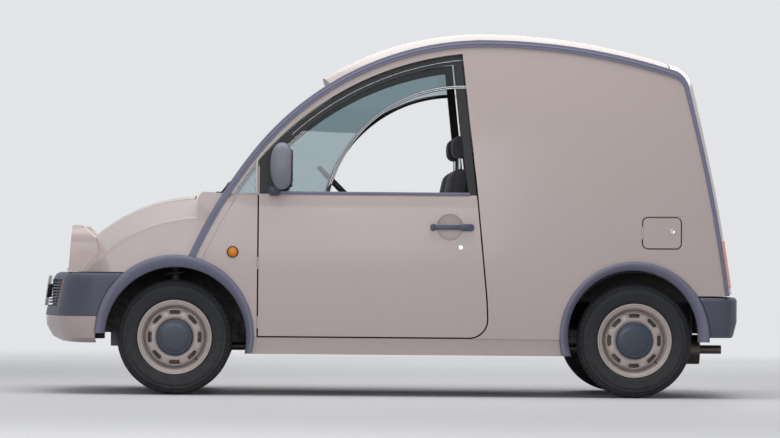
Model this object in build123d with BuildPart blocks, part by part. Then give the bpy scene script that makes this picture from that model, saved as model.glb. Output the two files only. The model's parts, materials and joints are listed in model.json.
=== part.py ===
from build123d import *
import os
from math import acos, asin, cos, degrees, radians, sin, sqrt

# A small panel van with a high arched side line, hinged doors, bonnet and tailgate.
# Millimetres, +X to the nose, +Y to the van's left, +Z up, the floor at z = 0,
# the origin under the middle of the length and width.

os.makedirs("parts", exist_ok=True)

# Whole van
length = 3475
front_overhang = 665
wheelbase = 2260
arch_half_width = 797.5
front_x = length / 2
rear_x = -length / 2
front_axle_x = front_x - front_overhang
rear_axle_x = front_axle_x - wheelbase

# Wheels
tyre_radius = 283
tyre_width = 155
bead_radius = 166
flange_radius = 182.5
flange_half_width = 57
rim_wall = 10
disc_ring_radius = 136
slot_count = 8
slot_radius = 126
slot_height = 19
slot_outer_width = 57
slot_inner_width = 40
cap_radius = 91
cap_seat = 14
cap_depth = 28
cap_skirt = 8
cap_wall = 12
cap_dome = 6
cap_round = 10
bore_radius = 25.3
disc_y = 18
front_wheel_y = 682.5
rear_wheel_y = 690
axle_z = tyre_radius

# Body skin
skin_half_width = 778
widest_z = 450
tumble_radius = 5900
wall_thickness = 45
panel_gap = 7.5
seat_gap = 0.3
sill_low_z = 204
sill_top_z = 285
sill_inset = 12
sill_depth = 90
shut_line_inset = 32
shut_line_width = 3.5
mould_proud = 9
mould_inner = 20
roof_mould_width = 34
tail_mould_width = 20

# Side line of the roof, screen and tail: arcs that follow each other tangentially from the
# crest, each with its radius and the heading at its end. A heading is the tilt of the outward
# normal from straight up in degrees, + to the front.
crest_x = -455
crest_z = 1726
front_arcs = ((1427, 51.9), (2454, 68.0))
rear_arcs = ((3040, -17.72), (75, -75.6), (9000, -82.3))

# Roof and tail section across the van: how far it rises over the side line
roof_crown = 88
roof_edge_rise = 30
roof_edge_y = 640
roof_inner_crown = 50
roof_flange_y = 590
roof_flange_drop = 12
roof_front_heading = 32
roof_rear_heading = -17.1
corner_thickness = 45

# Windscreen
screen_crown = 25
screen_thickness = 8
screen_base_heading = 58.4
header_gap_heading = 0.1

# Nose: a drum about an axis across the van, cut to a plan outline
nose_x = 947
nose_z = 172
bonnet_radius = 813
bonnet_edge_radius = 795
shoulder_y = 735
shoulder_radius = 700
wing_low_y = 772
wing_low_radius = 450
nose_thickness = 25
nose_low_z = 600
nose_rear_x = 740
bonnet_rear_x = 985
bonnet_rear_y = 400
bonnet_front_y = 386
nose_first_heading = -20
nose_last_heading = 75
# Plan of the nose as (x, y): three arcs, each through its middle point, from the tip outwards
nose_plan = ((1648, 0), (1634, 290), (1600, 560), (1572, 650), (1500, 705), (1370, 757), (1180, 776))

# Scuttle and cowl: the wings rise to a lip in front of the screen, with the cowl behind it
scuttle_front_x = 964
scuttle_lip_x = 938
scuttle_top_z = 998
scuttle_rear_z = 986
scuttle_flare = 36
scuttle_thickness = 20
cowl_half_width = 560
cowl_low_z = 940
cowl_top_z = 972

# Headlamp pods
pod_y = 505
pod_radius = 104
pod_flare = 34
pod_z = 727
pod_front_x = 1600
lamp_radius = 88
lamp_depth = 30

# Doors
door_front_x = 671
door_low_z = 285
door_thickness = 60
door_skin = 12
door_step = 14
door_arc_x = -485
door_arc_z = 200.6
door_arc_radius = 1497.5
door_rear_top = (-334, 1689)
door_rear_belt = (-412, 1003)
door_rear_low = (-463, 474)
door_corner_radius = 95
belt_z = 990
belt_ledge_height = 22
belt_ledge_depth = 10
frame_outer = 12
frame_inner = 48
frame_width = 40
window_front_x = 570
pane_thickness = 5
pane_inset = 26
split_arc_x = -338
split_arc_z = 843
split_arc_radius = 682
split_bar = 18

frame_foot = 12
hinge_heights = (330, 620)
hinge_height = 60
barrel_play = 0.35
lid_hinge_y = 80
leaf_length = 8
leaf_height = 5
leaf_depth = 5
handle_rear_x = -392
handle_front_x = -178
handle_z = 833
handle_height = 33
handle_proud = 20
handle_recess_x = -275
handle_recess_radius = 66
handle_recess_depth = 14
mirror_x = 552
mirror_z = 1126
mirror_width = 115
mirror_height = 230
mirror_depth = 110
mirror_inner_y = 770
mirror_round = 26
mirror_foot_z = 1018

# Fuel flap, left side only
flap_rear_x = -1409
flap_front_x = -1225
flap_low_z = 739
flap_high_z = 886
flap_corner = 24
flap_thickness = 10
flap_hinge_length = 60
pocket_depth = 28

# Tailgate
tailgate_half_width = 572
tailgate_thickness = 40
tail_window_half_width = 430
tail_window_low_z = 1050
tail_window_high_z = 1450
tail_window_corner = 60

# Bumpers
# Sections of the front bumper from the bottom up: height and inset from its plan
front_bumper_sections = ((384, 0), (566, 0), (586, 7), (596, 22))
bumper_thickness = 45
# Plan of the front bumper: x at its foot, x at its top, y at its foot, y at its top
front_bumper_plan = (
    (1737.5, 1690, 0, 0),
    (1715, 1669, 320, 320),
    (1660, 1618, 600, 598),
    (1600, 1565, 725, 718),
    (1480, 1462, 785, 778),
    (1250, 1250, 797, 790),
)
# Valance sections, in the same way
valance_sections = ((252, 82), (275, 37), (330, 7), (383.7, 2))
valance_rear_x = 1422
indicator_depth = 26
indicator_back = 14
repeater_x = 791
repeater_z = 703
repeater_radius = 28
indicator_inner_y = 500
indicator_outer_y = 592
rear_bumper_low_z = 300
rear_bumper_high_z = 497
rear_bumper_sections = ((rear_bumper_low_z, 18), (376, 0), (484, 0), (rear_bumper_high_z, 10))
# Half plan of the rear bumper, as x from the rear end and y
rear_bumper_plan = ((0, 0), (7.5, 350), (25, 640), (45, 745), (120, 788), (340, 797))
# Tail lamps
tail_lamp_low_z = 543
tail_lamp_high_z = 782
tail_lamp_inner_y = 606
tail_lamp_outer_y = 742
tail_lamp_proud = 14
tail_lamp_seat = 6
grille_half_width = 480
grille_low_z = 430
grille_high_z = 560
slat_count = 8
slat_height = 7
slat_inset = 2
slat_depth = 11

# Wheel arches: moulding circles as (x from the axle, z, radius)
front_arch_outer = (1.5, 298, 390)
front_arch_inner = (-4.5, 280, 347)
rear_arch_outer = (1.5, 301, 370)
rear_arch_inner = (8.5, 308, 320)
arch_depth = 62
arch_end_z = 205

# Underbody
floor_low_z = 255
floor_high_z = 295
load_floor_z = 500
load_floor_thickness = 30
load_floor_front_x = -480
rear_panel_x = -1642
bulkhead_x = 868
bulkhead_thickness = 22
apron_y = 425
apron_thickness = 12
liner_radius = 356
rear_liner_radius = 335
rear_well_y = 573
kingpin_y = 575
strut_radius = 22
tower_z = 690
tower_half_width = 72
apron_front_x = 1560
rail_low_z = 300
spindle_radius = 25

subframe_low_z = 190
subframe_height = 40
subframe_front_x = 1180
subframe_half_width = 330
arm_height = 25
brake_radius = 115
engine_rear_x = 960
engine_front_x = 1400
engine_y = -40
engine_width = 680
engine_height = 490
rear_pivot_x = -830
rear_pivot_z = 300
rear_arm_y = 525
tank_rear_x = -785
tank_front_x = -520
tank_width = 620
tank_low_z = 262
exhaust_y = -120
exhaust_z = 228
pipe_radius = 22
silencer_rear_x = -1580
silencer_front_x = -1340
silencer_radius = 75

# Cab
seat_x = 0
seat_y = 340
seat_width = 480
seat_cushion_z = 470
seat_top_z = 1150
headrest_width = 260
dash_rear_x = 560
dash_low_z = 780
dash_high_z = 920
dash_half_width = 680
column_bracket_z = 640
column_radius = 22
column_length = 850
steering_centre = (241, -340, 1005)
steering_tilt = 45
steering_radius = 178
steering_rim = 26

# Frames worked out from the sizes above
crest = (crest_x, crest_z)
front_arch_x = front_axle_x + front_arch_outer[0]
rear_arch_x = rear_axle_x + rear_arch_outer[0]
floor_edge_y = skin_half_width - sill_inset - sill_depth - 5
barrel_radius = panel_gap / 2 - barrel_play
far = 1000


def side_y(z, inset=0):
    # Distance of the side skin from the centre plane at a height
    rise = sqrt(tumble_radius**2 - (z - widest_z) ** 2)
    return skin_half_width - tumble_radius + rise - inset


def on_arc(centre, radius, heading):
    turn = radians(heading)
    return (centre[0] + radius * sin(turn), centre[1] + radius * cos(turn))


def tangent_chain(start, arcs):
    # Centre, radius, first heading and last heading of each arc, from the crest outwards
    spans = []
    radius = arcs[0][0]
    heading = 0
    centre = (start[0], start[1] - radius)
    for next_radius, next_heading in arcs:
        centre = on_arc(centre, radius - next_radius, heading)
        spans.append((centre, next_radius, heading, next_heading))
        radius = next_radius
        heading = next_heading
    return spans


def ending_at(spans, z):
    # The same chain with its last arc ended at a height
    centre, radius, start, end = spans[-1]
    heading = degrees(acos((z - centre[1]) / radius))
    if end < 0:
        heading = -heading
    return spans[:-1] + [(centre, radius, start, heading)]


def draw_chain(spans, grow=0):
    for centre, radius, start, end in spans:
        CenterArc(centre, radius + grow, 90 - start, start - end)


def chain_end(spans, grow=0):
    centre, radius, _, end = spans[-1]
    return on_arc(centre, radius + grow, end)


front_spans = tangent_chain(crest, front_arcs)
rear_spans = ending_at(tangent_chain(crest, rear_arcs), rear_bumper_high_z + panel_gap)


def side_line_x(z, grow=0):
    # Forward point of the front side line at a height
    centre, radius, _, _ = front_spans[1]
    return centre[0] + sqrt((radius + grow) ** 2 - (z - centre[1]) ** 2)


def wall(outline, outer, inner, z_low, z_high, x_low, x_high):
    # A left side wall between two insets from the skin, cut to an outline seen from the side
    z_middle = (z_low + z_high) / 2
    with BuildPart() as made:
        with BuildSketch(Plane.YZ.offset(x_low)):
            with BuildLine():
                ThreePointArc(
                    (side_y(z_low, outer), z_low),
                    (side_y(z_middle, outer), z_middle),
                    (side_y(z_high, outer), z_high),
                )
                Line((side_y(z_high, outer), z_high), (side_y(z_high, inner), z_high))
                ThreePointArc(
                    (side_y(z_high, inner), z_high),
                    (side_y(z_middle, inner), z_middle),
                    (side_y(z_low, inner), z_low),
                )
                Line((side_y(z_low, inner), z_low), (side_y(z_low, outer), z_low))
            make_face()
        extrude(amount=x_high - x_low)
        if outline is not None:
            extrude(to_extrude=outline, amount=far, both=True, mode=Mode.INTERSECT)
    return made.part


def inside(inset, z_low=0, z_high=1900, x_low=rear_x - 50, x_high=front_x + 50):
    # Everything between the two side skins, less an inset
    z_middle = (z_low + z_high) / 2
    with BuildPart() as made:
        with BuildSketch(Plane.YZ.offset(x_low)):
            with BuildLine():
                for side in (1, -1):
                    ThreePointArc(
                        (side * side_y(z_low, inset), z_low),
                        (side * side_y(z_middle, inset), z_middle),
                        (side * side_y(z_high, inset), z_high),
                    )
                for z in (z_low, z_high):
                    Line((side_y(z, inset), z), (-side_y(z, inset), z))
            make_face()
        extrude(amount=x_high - x_low)
    return made.part


def section_plane(centre, radius, heading):
    # Across the van: local x is +Y, local y is the outward normal at the heading
    turn = radians(heading)
    x, z = on_arc(centre, radius, heading)
    return Plane(origin=(x, 0, z), x_dir=(0, 1, 0), z_dir=(cos(turn), 0, -sin(turn)))


def swept(spans, section, first, last):
    # A section revolved along the arcs of the chain between two headings
    low_heading = min(first, last)
    high_heading = max(first, last)
    with BuildPart() as made:
        for centre, radius, start, end in spans:
            low = max(min(start, end), low_heading)
            high = min(max(start, end), high_heading)
            if high > low:
                plane = section_plane(centre, radius, low)
                face = plane * section
                axis = Axis((centre[0], 0, centre[1]), (0, 1, 0))
                revolve(face.faces(), axis=axis, revolution_arc=high - low)
    return made.part


def crown_rise(y):
    # Height of the roof and tail skin over the side line at a distance from the centre plane
    drop = roof_crown - roof_edge_rise
    radius = (roof_edge_y**2 + drop**2) / (2 * drop)
    return roof_crown - radius + sqrt(radius**2 - y**2)


def crowned_section(top, bottom, half_width=800):
    # A band under the crowned skin between two depths
    edge = crown_rise(half_width)
    with BuildSketch() as made:
        with BuildLine():
            for depth in (top, bottom):
                ThreePointArc((-half_width, edge - depth), (0, roof_crown - depth), (half_width, edge - depth))
            for side in (1, -1):
                Line((side * half_width, edge - top), (side * half_width, edge - bottom))
        make_face()
    return made.sketch


def across(x_low, x_high, half_width, z_low, z_high):
    # A block centred on the middle of the van
    with BuildPart() as made:
        with BuildSketch(Plane.XY.offset(z_low)):
            with Locations(((x_low + x_high) / 2, 0)):
                Rectangle(x_high - x_low, 2 * half_width)
        extrude(amount=z_high - z_low)
    return made.part


def drum(x, z, radius, y_low, y_high, inner_radius=0):
    # A cylinder or ring about an axis across the van
    with BuildPart() as made:
        with BuildSketch(Plane.XZ.offset(-y_low)):
            with Locations((x, z)):
                Circle(radius)
                if inner_radius > 0:
                    Circle(inner_radius, mode=Mode.SUBTRACT)
        extrude(amount=y_low - y_high)
    return made.part


def save(part, name):
    part.label = name
    export_step(part, f"parts/{name}.step")


def mirrored(part):
    return mirror(part, about=Plane.XZ)


def lid_hinges(x, z, lean, leaf_y):
    # Two hinge barrels in the gap in front of a lid, each with the leaf that joins it to the lid
    turn = radians(lean)
    with BuildPart() as made:
        for side in (1, -1):
            low_y = side * lid_hinge_y - hinge_height / 2
            with BuildSketch(Plane(origin=(x, low_y, z), x_dir=(cos(turn), 0, sin(turn)), z_dir=(0, 1, 0))):
                Circle(barrel_radius)
                with Locations((leaf_length / 2, leaf_y)):
                    Rectangle(leaf_length, leaf_height)
            extrude(amount=hinge_height)
    return made.part


# Outlines seen from the side

with BuildSketch(Plane.XZ) as side_outline:
    with BuildLine():
        draw_chain(front_spans)
        draw_chain(rear_spans)
        Polyline(
            chain_end(rear_spans),
            (rear_axle_x, chain_end(rear_spans)[1]),
            (rear_axle_x, sill_top_z),
            (front_axle_x, sill_top_z),
            chain_end(front_spans),
        )
    make_face()

door_arc_centre = (door_arc_x, door_arc_z)
door_front_top_z = door_arc_z + sqrt(door_arc_radius**2 - (door_front_x - door_arc_x) ** 2)
door_arc_top = (door_rear_top[0], door_arc_z + sqrt(door_arc_radius**2 - (door_rear_top[0] - door_arc_x) ** 2))
door_rear_foot = (door_rear_low[0] - 8, door_low_z)

with BuildSketch(Plane.XZ) as door_opening:
    with BuildLine():
        arc_first = degrees(acos((door_front_x - door_arc_x) / door_arc_radius))
        arc_last = degrees(acos((door_rear_top[0] - door_arc_x) / door_arc_radius))
        CenterArc(door_arc_centre, door_arc_radius, arc_first, arc_last - arc_first)
        Polyline(
            door_arc_top,
            door_rear_belt,
            door_rear_low,
            door_rear_foot,
            (door_front_x, door_low_z),
            (door_front_x, door_front_top_z),
        )
    make_face()
    fillet(door_opening.vertices().sort_by_distance((door_rear_foot[0], 0, door_rear_foot[1]))[0], door_corner_radius)


def shrunk(outline, amount):
    # The same side outline, smaller all round
    with BuildSketch(Plane.XZ) as made:
        add(outline.sketch_local)
        offset(amount=-amount, kind=Kind.INTERSECTION, mode=Mode.REPLACE)
    return made


quarter_points = ((681, 1143), (790, 990), (681, 990))
with BuildSketch(Plane.XZ) as quarter_window:
    with BuildLine():
        Polyline(*quarter_points, close=True)
    make_face()

with BuildSketch(Plane.XZ) as flap_outline:
    with Locations(((flap_rear_x + flap_front_x) / 2, (flap_low_z + flap_high_z) / 2)):
        RectangleRounded(flap_front_x - flap_rear_x, flap_high_z - flap_low_z, flap_corner)

with BuildSketch(Plane.XZ) as mould_outline:
    with BuildLine():
        inner_grow = seat_gap
        draw_chain(front_spans, inner_grow)
        draw_chain(rear_spans, inner_grow)
        draw_chain(front_spans, roof_mould_width)
        draw_chain(rear_spans[:1], roof_mould_width)
        corner_centre, corner_r, corner_start, corner_end = rear_spans[1]
        tail_centre, tail_r, tail_start, tail_end = rear_spans[2]
        middle_heading = (corner_start + corner_end) / 2
        ThreePointArc(
            on_arc(corner_centre, corner_r + roof_mould_width, corner_start),
            on_arc(corner_centre, corner_r + (roof_mould_width + tail_mould_width) / 2, middle_heading),
            on_arc(corner_centre, corner_r + tail_mould_width, corner_end),
        )
        draw_chain(rear_spans[2:], tail_mould_width)
        Line(chain_end(rear_spans, inner_grow), chain_end(rear_spans, tail_mould_width))
        Line(chain_end(front_spans, inner_grow), chain_end(front_spans, roof_mould_width))
    make_face()

def tail_lamp_form(margin, top, bottom):
    with BuildPart() as made:
        add(swept(rear_spans, crowned_section(top, bottom), rear_spans[-1][3], rear_spans[-1][2]))
        low = tail_lamp_low_z + margin
        high = tail_lamp_high_z - margin
        add(across(-2 * far, 0, tail_lamp_outer_y - margin, low, high), mode=Mode.INTERSECT)
        add(across(-2 * far, 0, tail_lamp_inner_y + margin, low, high), mode=Mode.SUBTRACT)
    return made.part


def belt_ledge(x_low, x_high):
    # The wedge that a ledge under the window line takes off the skin
    foot_z = belt_z - belt_ledge_height
    with BuildPart() as made:
        with BuildSketch(Plane.YZ.offset(x_low)):
            with BuildLine():
                Polyline(
                    (side_y(foot_z), foot_z),
                    (side_y(belt_z) - belt_ledge_depth, belt_z),
                    (side_y(belt_z) - belt_ledge_depth, belt_z + 1),
                    (side_y(belt_z) + far, belt_z + 1),
                    close=True,
                )
            make_face()
        extrude(amount=x_high - x_low)
    return made.part


# Shut line along the front pillar, from the arch up to the window

with BuildSketch(Plane.XZ) as shut_line:
    with BuildLine():
        draw_chain(front_spans[1:], -shut_line_inset)
        draw_chain(front_spans[1:], -shut_line_inset - shut_line_width)
        for heading in front_spans[1][2:]:
            Line(
                on_arc(front_spans[1][0], front_spans[1][1] - shut_line_inset, heading),
                on_arc(front_spans[1][0], front_spans[1][1] - shut_line_inset - shut_line_width, heading),
            )
    make_face()

# Body sides: outer wall, sill box and the corner panel beside the tailgate

front_arch_hole = drum(front_arch_x, front_arch_outer[1], front_arch_outer[2] + seat_gap, 500, 900)
rear_arch_hole = drum(rear_arch_x, rear_arch_outer[1], rear_arch_outer[2] + seat_gap, 500, 900)
corner_section = crowned_section(0, corner_thickness)

with BuildPart() as corner_panel:
    add(swept(rear_spans, corner_section, roof_rear_heading, rear_spans[-1][3]))
    add(across(-2 * far, 0, tailgate_half_width + panel_gap, 0, 2 * far), mode=Mode.SUBTRACT)
    add(across(-2 * far, 0, far, 0, rear_bumper_high_z + panel_gap), mode=Mode.SUBTRACT)
    add(inside(mould_inner + seat_gap), mode=Mode.INTERSECT)
    split(bisect_by=Plane.XZ, keep=Keep.BOTTOM)

with BuildPart() as side_right:
    add(wall(side_outline.sketch, 0, wall_thickness, sill_top_z, 1800, rear_x, front_axle_x))
    add(wall(None, sill_inset, sill_inset + sill_depth, sill_low_z, sill_top_z, rear_axle_x, front_axle_x))
    add(corner_panel.part)
    extrude(to_extrude=door_opening.sketch, amount=far, both=True, mode=Mode.SUBTRACT)
    extrude(to_extrude=quarter_window.sketch, amount=far, both=True, mode=Mode.SUBTRACT)
    add(belt_ledge(door_front_x - 20, front_x), mode=Mode.SUBTRACT)
    add(wall(shut_line.sketch, -1, shut_line_width, sill_top_z, belt_z, 0, front_x), mode=Mode.SUBTRACT)
    add(front_arch_hole, mode=Mode.SUBTRACT)
    add(rear_arch_hole, mode=Mode.SUBTRACT)
    add(tail_lamp_form(0, -tail_lamp_proud - 10, tail_lamp_seat), mode=Mode.SUBTRACT)

with BuildPart() as side_left:
    add(side_right.part)
    pocket_y = side_y((flap_low_z + flap_high_z) / 2, pocket_depth)
    with BuildSketch(Plane.XZ.offset(-pocket_y)):
        add(flap_outline.sketch_local)
        offset(amount=panel_gap, mode=Mode.REPLACE)
    extrude(amount=-pocket_depth * 2, mode=Mode.SUBTRACT)
    with BuildSketch(Plane.XZ.offset(-pocket_y + 4)):
        with Locations(((flap_rear_x + flap_front_x) / 2, (flap_low_z + flap_high_z) / 2)):
            Circle(30)
    extrude(amount=-14)

save(side_left.part, "side_left")
save(mirrored(side_right.part), "side_right")

# Grey mouldings along the roof edges, from the front arch to the tail

mould_ring = wall(mould_outline.sketch, -mould_proud, mould_inner, sill_top_z, 1800, rear_x - 50, front_x)
with BuildPart() as body_moulding:
    add(mould_ring)
    add(front_arch_hole, mode=Mode.SUBTRACT)

with BuildPart() as body_mouldings:
    add(body_moulding.part)
    mirror(about=Plane.XZ)
save(body_mouldings.part, "body_mouldings")


def arch_ring(axle_x, outer, inner):
    # The thick lip of one wheel arch
    y_high = arch_half_width
    with BuildPart() as made:
        add(drum(axle_x + outer[0], outer[1], outer[2], y_high - arch_depth, y_high))
        add(drum(axle_x + inner[0], inner[1], inner[2], y_high - arch_depth - 1, y_high + 1), mode=Mode.SUBTRACT)
        add(across(-2 * far, 2 * far, far, -far, arch_end_z), mode=Mode.SUBTRACT)
        edges = made.edges().filter_by(GeomType.CIRCLE).group_by(Axis.Y)[-1]
        fillet(edges, 8)
    return made.part


with BuildPart() as arch_mouldings:
    add(arch_ring(front_axle_x, front_arch_outer, front_arch_inner))
    add(arch_ring(rear_axle_x, rear_arch_outer, rear_arch_inner))
    mirror(about=Plane.XZ)
save(arch_mouldings.part, "arch_mouldings")

# Roof: a crowned skin whose edges rest on the side walls

roof_out_y = roof_edge_y + 30
with BuildSketch() as roof_section:
    with BuildLine():
        ThreePointArc((-roof_out_y, crown_rise(roof_out_y)), (0, roof_crown), (roof_out_y, crown_rise(roof_out_y)))
        for side in (1, -1):
            Polyline(
                (side * roof_out_y, crown_rise(roof_out_y)),
                (side * roof_out_y, seat_gap),
                (side * roof_flange_y, seat_gap),
                (side * roof_flange_y, -roof_flange_drop),
            )
        ThreePointArc(
            (roof_flange_y, -roof_flange_drop), (0, roof_inner_crown), (-roof_flange_y, -roof_flange_drop)
        )
    make_face()

with BuildPart() as roof:
    add(swept(front_spans, roof_section.sketch, 0, roof_front_heading))
    add(swept(rear_spans, roof_section.sketch, roof_rear_heading, 0))
    add(inside(mould_inner + seat_gap), mode=Mode.INTERSECT)
save(roof.part, "roof")

# Windscreen, its edges resting on the side walls like a bonded pane

screen_edge = screen_thickness + seat_gap
with BuildSketch() as screen_section:
    with BuildLine():
        for z in (seat_gap, screen_edge):
            crown = screen_crown - screen_edge + z
            ThreePointArc((-roof_flange_y, z), (0, crown), (roof_flange_y, z))
            for side in (1, -1):
                Line((side * roof_flange_y, z), (side * far, z))
        for side in (1, -1):
            Line((side * far, seat_gap), (side * far, screen_edge))
    make_face()

with BuildPart() as windscreen:
    add(swept(front_spans, screen_section.sketch, roof_front_heading + header_gap_heading, screen_base_heading))
    add(inside(mould_inner + seat_gap), mode=Mode.INTERSECT)
save(windscreen.part, "windscreen")

# Nose shell: the drum section, cut to the plan outline


def nose_form(inset):
    # The drum section revolved about its axis and cut to the plan outline, less an inset
    top = bonnet_radius - inset
    edge = bonnet_edge_radius - inset
    shoulder = (shoulder_y - inset, shoulder_radius - inset)
    foot_y = wing_low_y - inset
    with BuildSketch() as section:
        with BuildLine():
            ThreePointArc((-bonnet_rear_y, edge), (0, top), (bonnet_rear_y, edge))
            for side in (1, -1):
                Polyline(
                    (side * bonnet_rear_y, edge),
                    (side * shoulder[0], shoulder[1]),
                    (side * foot_y, wing_low_radius),
                    (side * foot_y, 100),
                )
            Line((foot_y, 100), (-foot_y, 100))
        make_face()
        fillet(section.vertices().filter_by_position(Axis.Y, shoulder[1] - 1, shoulder[1] + 1), 20)
    centre = (nose_x, nose_z)
    turn = [(centre, 0, nose_first_heading, nose_last_heading)]
    with BuildPart() as made:
        add(swept(turn, section.sketch, nose_first_heading, nose_last_heading))
        with BuildSketch(Plane.XY.offset(nose_low_z - 2 * inset)):
            with BuildLine():
                for side in (1, -1):
                    points = [(x - inset, side * (y - inset)) for x, y in nose_plan[1:]]
                    tip = (nose_plan[0][0] - inset, 0)
                    ThreePointArc(tip, points[0], points[1])
                    ThreePointArc(points[1], points[2], points[3])
                    ThreePointArc(points[3], points[4], points[5])
                    Line(points[5], (nose_rear_x, points[5][1]))
                rear_y = nose_plan[-1][1] - inset
                Line((nose_rear_x, rear_y), (nose_rear_x, -rear_y))
            make_face()
        extrude(amount=600, mode=Mode.INTERSECT)
    return made.part


with BuildPart() as nose_shell:
    add(nose_form(0))
    add(nose_form(nose_thickness), mode=Mode.SUBTRACT)

with BuildSketch(Plane.XY) as bonnet_plan:
    with BuildLine():
        Polyline(
            (bonnet_rear_x, bonnet_rear_y),
            (1700, bonnet_front_y),
            (1700, -bonnet_front_y),
            (bonnet_rear_x, -bonnet_rear_y),
            close=True,
        )
    make_face()

bonnet_hinge_x = bonnet_rear_x - panel_gap / 2
bonnet_hinge_z = nose_z + sqrt(bonnet_radius**2 - (bonnet_rear_x - nose_x) ** 2)

with BuildPart() as bonnet:
    add(nose_shell.part)
    extrude(to_extrude=bonnet_plan.sketch, amount=1200, mode=Mode.INTERSECT)
    with BuildSketch(Plane.XY):
        with Locations((1400, 0)):
            Rectangle(700, 2000)
    extrude(amount=nose_low_z + 8, mode=Mode.SUBTRACT)
    add(lid_hinges(bonnet_hinge_x, bonnet_hinge_z, 0, leaf_depth))
save(bonnet.part, "bonnet")

# Scuttle, the flared rear edge of the wings


def scuttle_form(inset):
    # Seen from the side a flare up to the lip, seen from the front as wide as the wings
    side_lean = (wing_low_y - shoulder_y) / (shoulder_radius - wing_low_radius)
    shoulder_z = nose_z + shoulder_radius
    low_z = shoulder_z - scuttle_thickness
    flare_z = scuttle_top_z - scuttle_flare
    front = scuttle_front_x - inset
    lip = scuttle_lip_x - inset
    top = scuttle_top_z - inset
    with BuildPart() as made:
        with BuildSketch(Plane.XZ):
            with BuildLine():
                Line((front, low_z - inset), (front, flare_z))
                ThreePointArc((front, flare_z), (front - 9, top - 14), (lip, top))
                Polyline(
                    (lip, top),
                    (lip - scuttle_thickness / 2, top),
                    (nose_rear_x, scuttle_rear_z - inset),
                    (nose_rear_x, low_z - inset),
                    (front, low_z - inset),
                )
            make_face()
        extrude(amount=far, both=True)
        with BuildSketch(Plane.YZ) as front_view:
            with BuildLine():
                low_y = shoulder_y - 1.5 - inset + side_lean * scuttle_thickness
                top_y = shoulder_y - 1.5 - inset - side_lean * (scuttle_top_z - shoulder_z)
                Polyline(
                    (low_y, low_z - inset),
                    (top_y, scuttle_top_z),
                    (-top_y, scuttle_top_z),
                    (-low_y, low_z - inset),
                    close=True,
                )
            make_face()
        extrude(to_extrude=front_view.sketch, amount=2 * far, both=True, mode=Mode.INTERSECT)
    return made.part


scuttle_inner_x = scuttle_front_x - scuttle_thickness
with BuildPart() as scuttle:
    add(scuttle_form(0))
    add(scuttle_form(scuttle_thickness), mode=Mode.SUBTRACT)
    add(nose_form(nose_thickness), mode=Mode.SUBTRACT)
    cowl_front_x = scuttle_lip_x - scuttle_thickness / 2
    add(across(0, cowl_front_x, cowl_half_width + seat_gap, 0, 2 * far), mode=Mode.SUBTRACT)

with BuildPart() as front_wings:
    add(nose_shell.part)
    with BuildSketch(Plane.XY) as bonnet_hole:
        add(bonnet_plan.sketch)
        offset(amount=panel_gap, kind=Kind.INTERSECTION, mode=Mode.REPLACE)
        with Locations((scuttle_inner_x - 200, 0)):
            Rectangle(400, 2 * (cowl_half_width + seat_gap))
    extrude(amount=1200, dir=(0, 0, 1), mode=Mode.SUBTRACT)

with BuildSketch(Plane.XZ) as behind_moulding:
    with BuildLine():
        draw_chain(front_spans, roof_mould_width + seat_gap)
        Polyline(
            chain_end(front_spans, roof_mould_width + seat_gap),
            (crest_x, 0),
            (crest_x, crest_z + roof_mould_width + seat_gap),
        )
    make_face()

with BuildPart() as wing_right:
    add(front_wings.part)
    add(scuttle.part)
    split(bisect_by=Plane.XZ, keep=Keep.BOTTOM)
    extrude(to_extrude=behind_moulding.sketch, amount=far, both=True, mode=Mode.SUBTRACT)
    add(front_arch_hole, mode=Mode.SUBTRACT)

# Headlamp pod: a round-topped column on the wing, sloping down at the back

with BuildPart() as pod:
    with BuildSketch(Plane.YZ.offset(1420)):
        with Locations((pod_y, pod_z)):
            Circle(pod_radius)
        with BuildLine():
            Polyline(
                (pod_y - pod_radius, nose_low_z),
                (pod_y - pod_radius, pod_z),
                (pod_y + pod_radius, pod_z),
                (pod_y + pod_radius + pod_flare, nose_low_z),
                close=True,
            )
        make_face()
    extrude(amount=200)
    with BuildSketch(Plane.XZ):
        with BuildLine():
            Polyline(
                (pod_front_x, nose_low_z),
                (pod_front_x - 14, pod_z + pod_radius - 6),
                (pod_front_x - 24, pod_z + pod_radius + 2),
                (1534, pod_z + pod_radius - 2),
                (1471, 769),
                (1440, 640),
                (1440, nose_low_z),
                close=True,
            )
        make_face()
    extrude(amount=far, both=True, mode=Mode.INTERSECT)

lamp_back_x = pod_front_x - 8 - lamp_depth

with BuildPart() as wing_and_pod:
    add(pod.part)
    add(nose_form(nose_thickness), mode=Mode.SUBTRACT)
    add(wing_right.part)
    with BuildSketch(Plane.YZ.offset(lamp_back_x)):
        with Locations((pod_y, pod_z)):
            Circle(lamp_radius + 3)
    extrude(amount=100, mode=Mode.SUBTRACT)

with BuildPart() as both_wings:
    add(wing_and_pod.part)
    mirror(about=Plane.XZ)
save(both_wings.part, "front_wings")

with BuildPart() as headlamps:
    with BuildSketch(Plane.YZ.offset(lamp_back_x + seat_gap)):
        with Locations((pod_y, pod_z), (-pod_y, pod_z)):
            Circle(lamp_radius)
    extrude(amount=lamp_depth - 6)
    fillet(headlamps.edges().filter_by(GeomType.CIRCLE).group_by(Axis.X)[-1], 10)
save(headlamps.part, "headlamps")

# Cowl: the panel between the scuttle and the foot of the screen

with BuildPart() as cowl:
    with BuildSketch(Plane.XZ):
        with BuildLine():
            Polyline(
                (scuttle_inner_x - 3, cowl_low_z),
                (scuttle_inner_x - 3, cowl_low_z + 8),
                (cowl_front_x - 15, cowl_top_z),
                (side_line_x(cowl_top_z, screen_crown + seat_gap), cowl_top_z),
                (side_line_x(cowl_low_z, screen_crown + seat_gap), cowl_low_z),
                close=True,
            )
        make_face()
    extrude(amount=cowl_half_width, both=True)
save(cowl.part, "cowl")

# Bulkhead, aprons and front wheel liners

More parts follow.
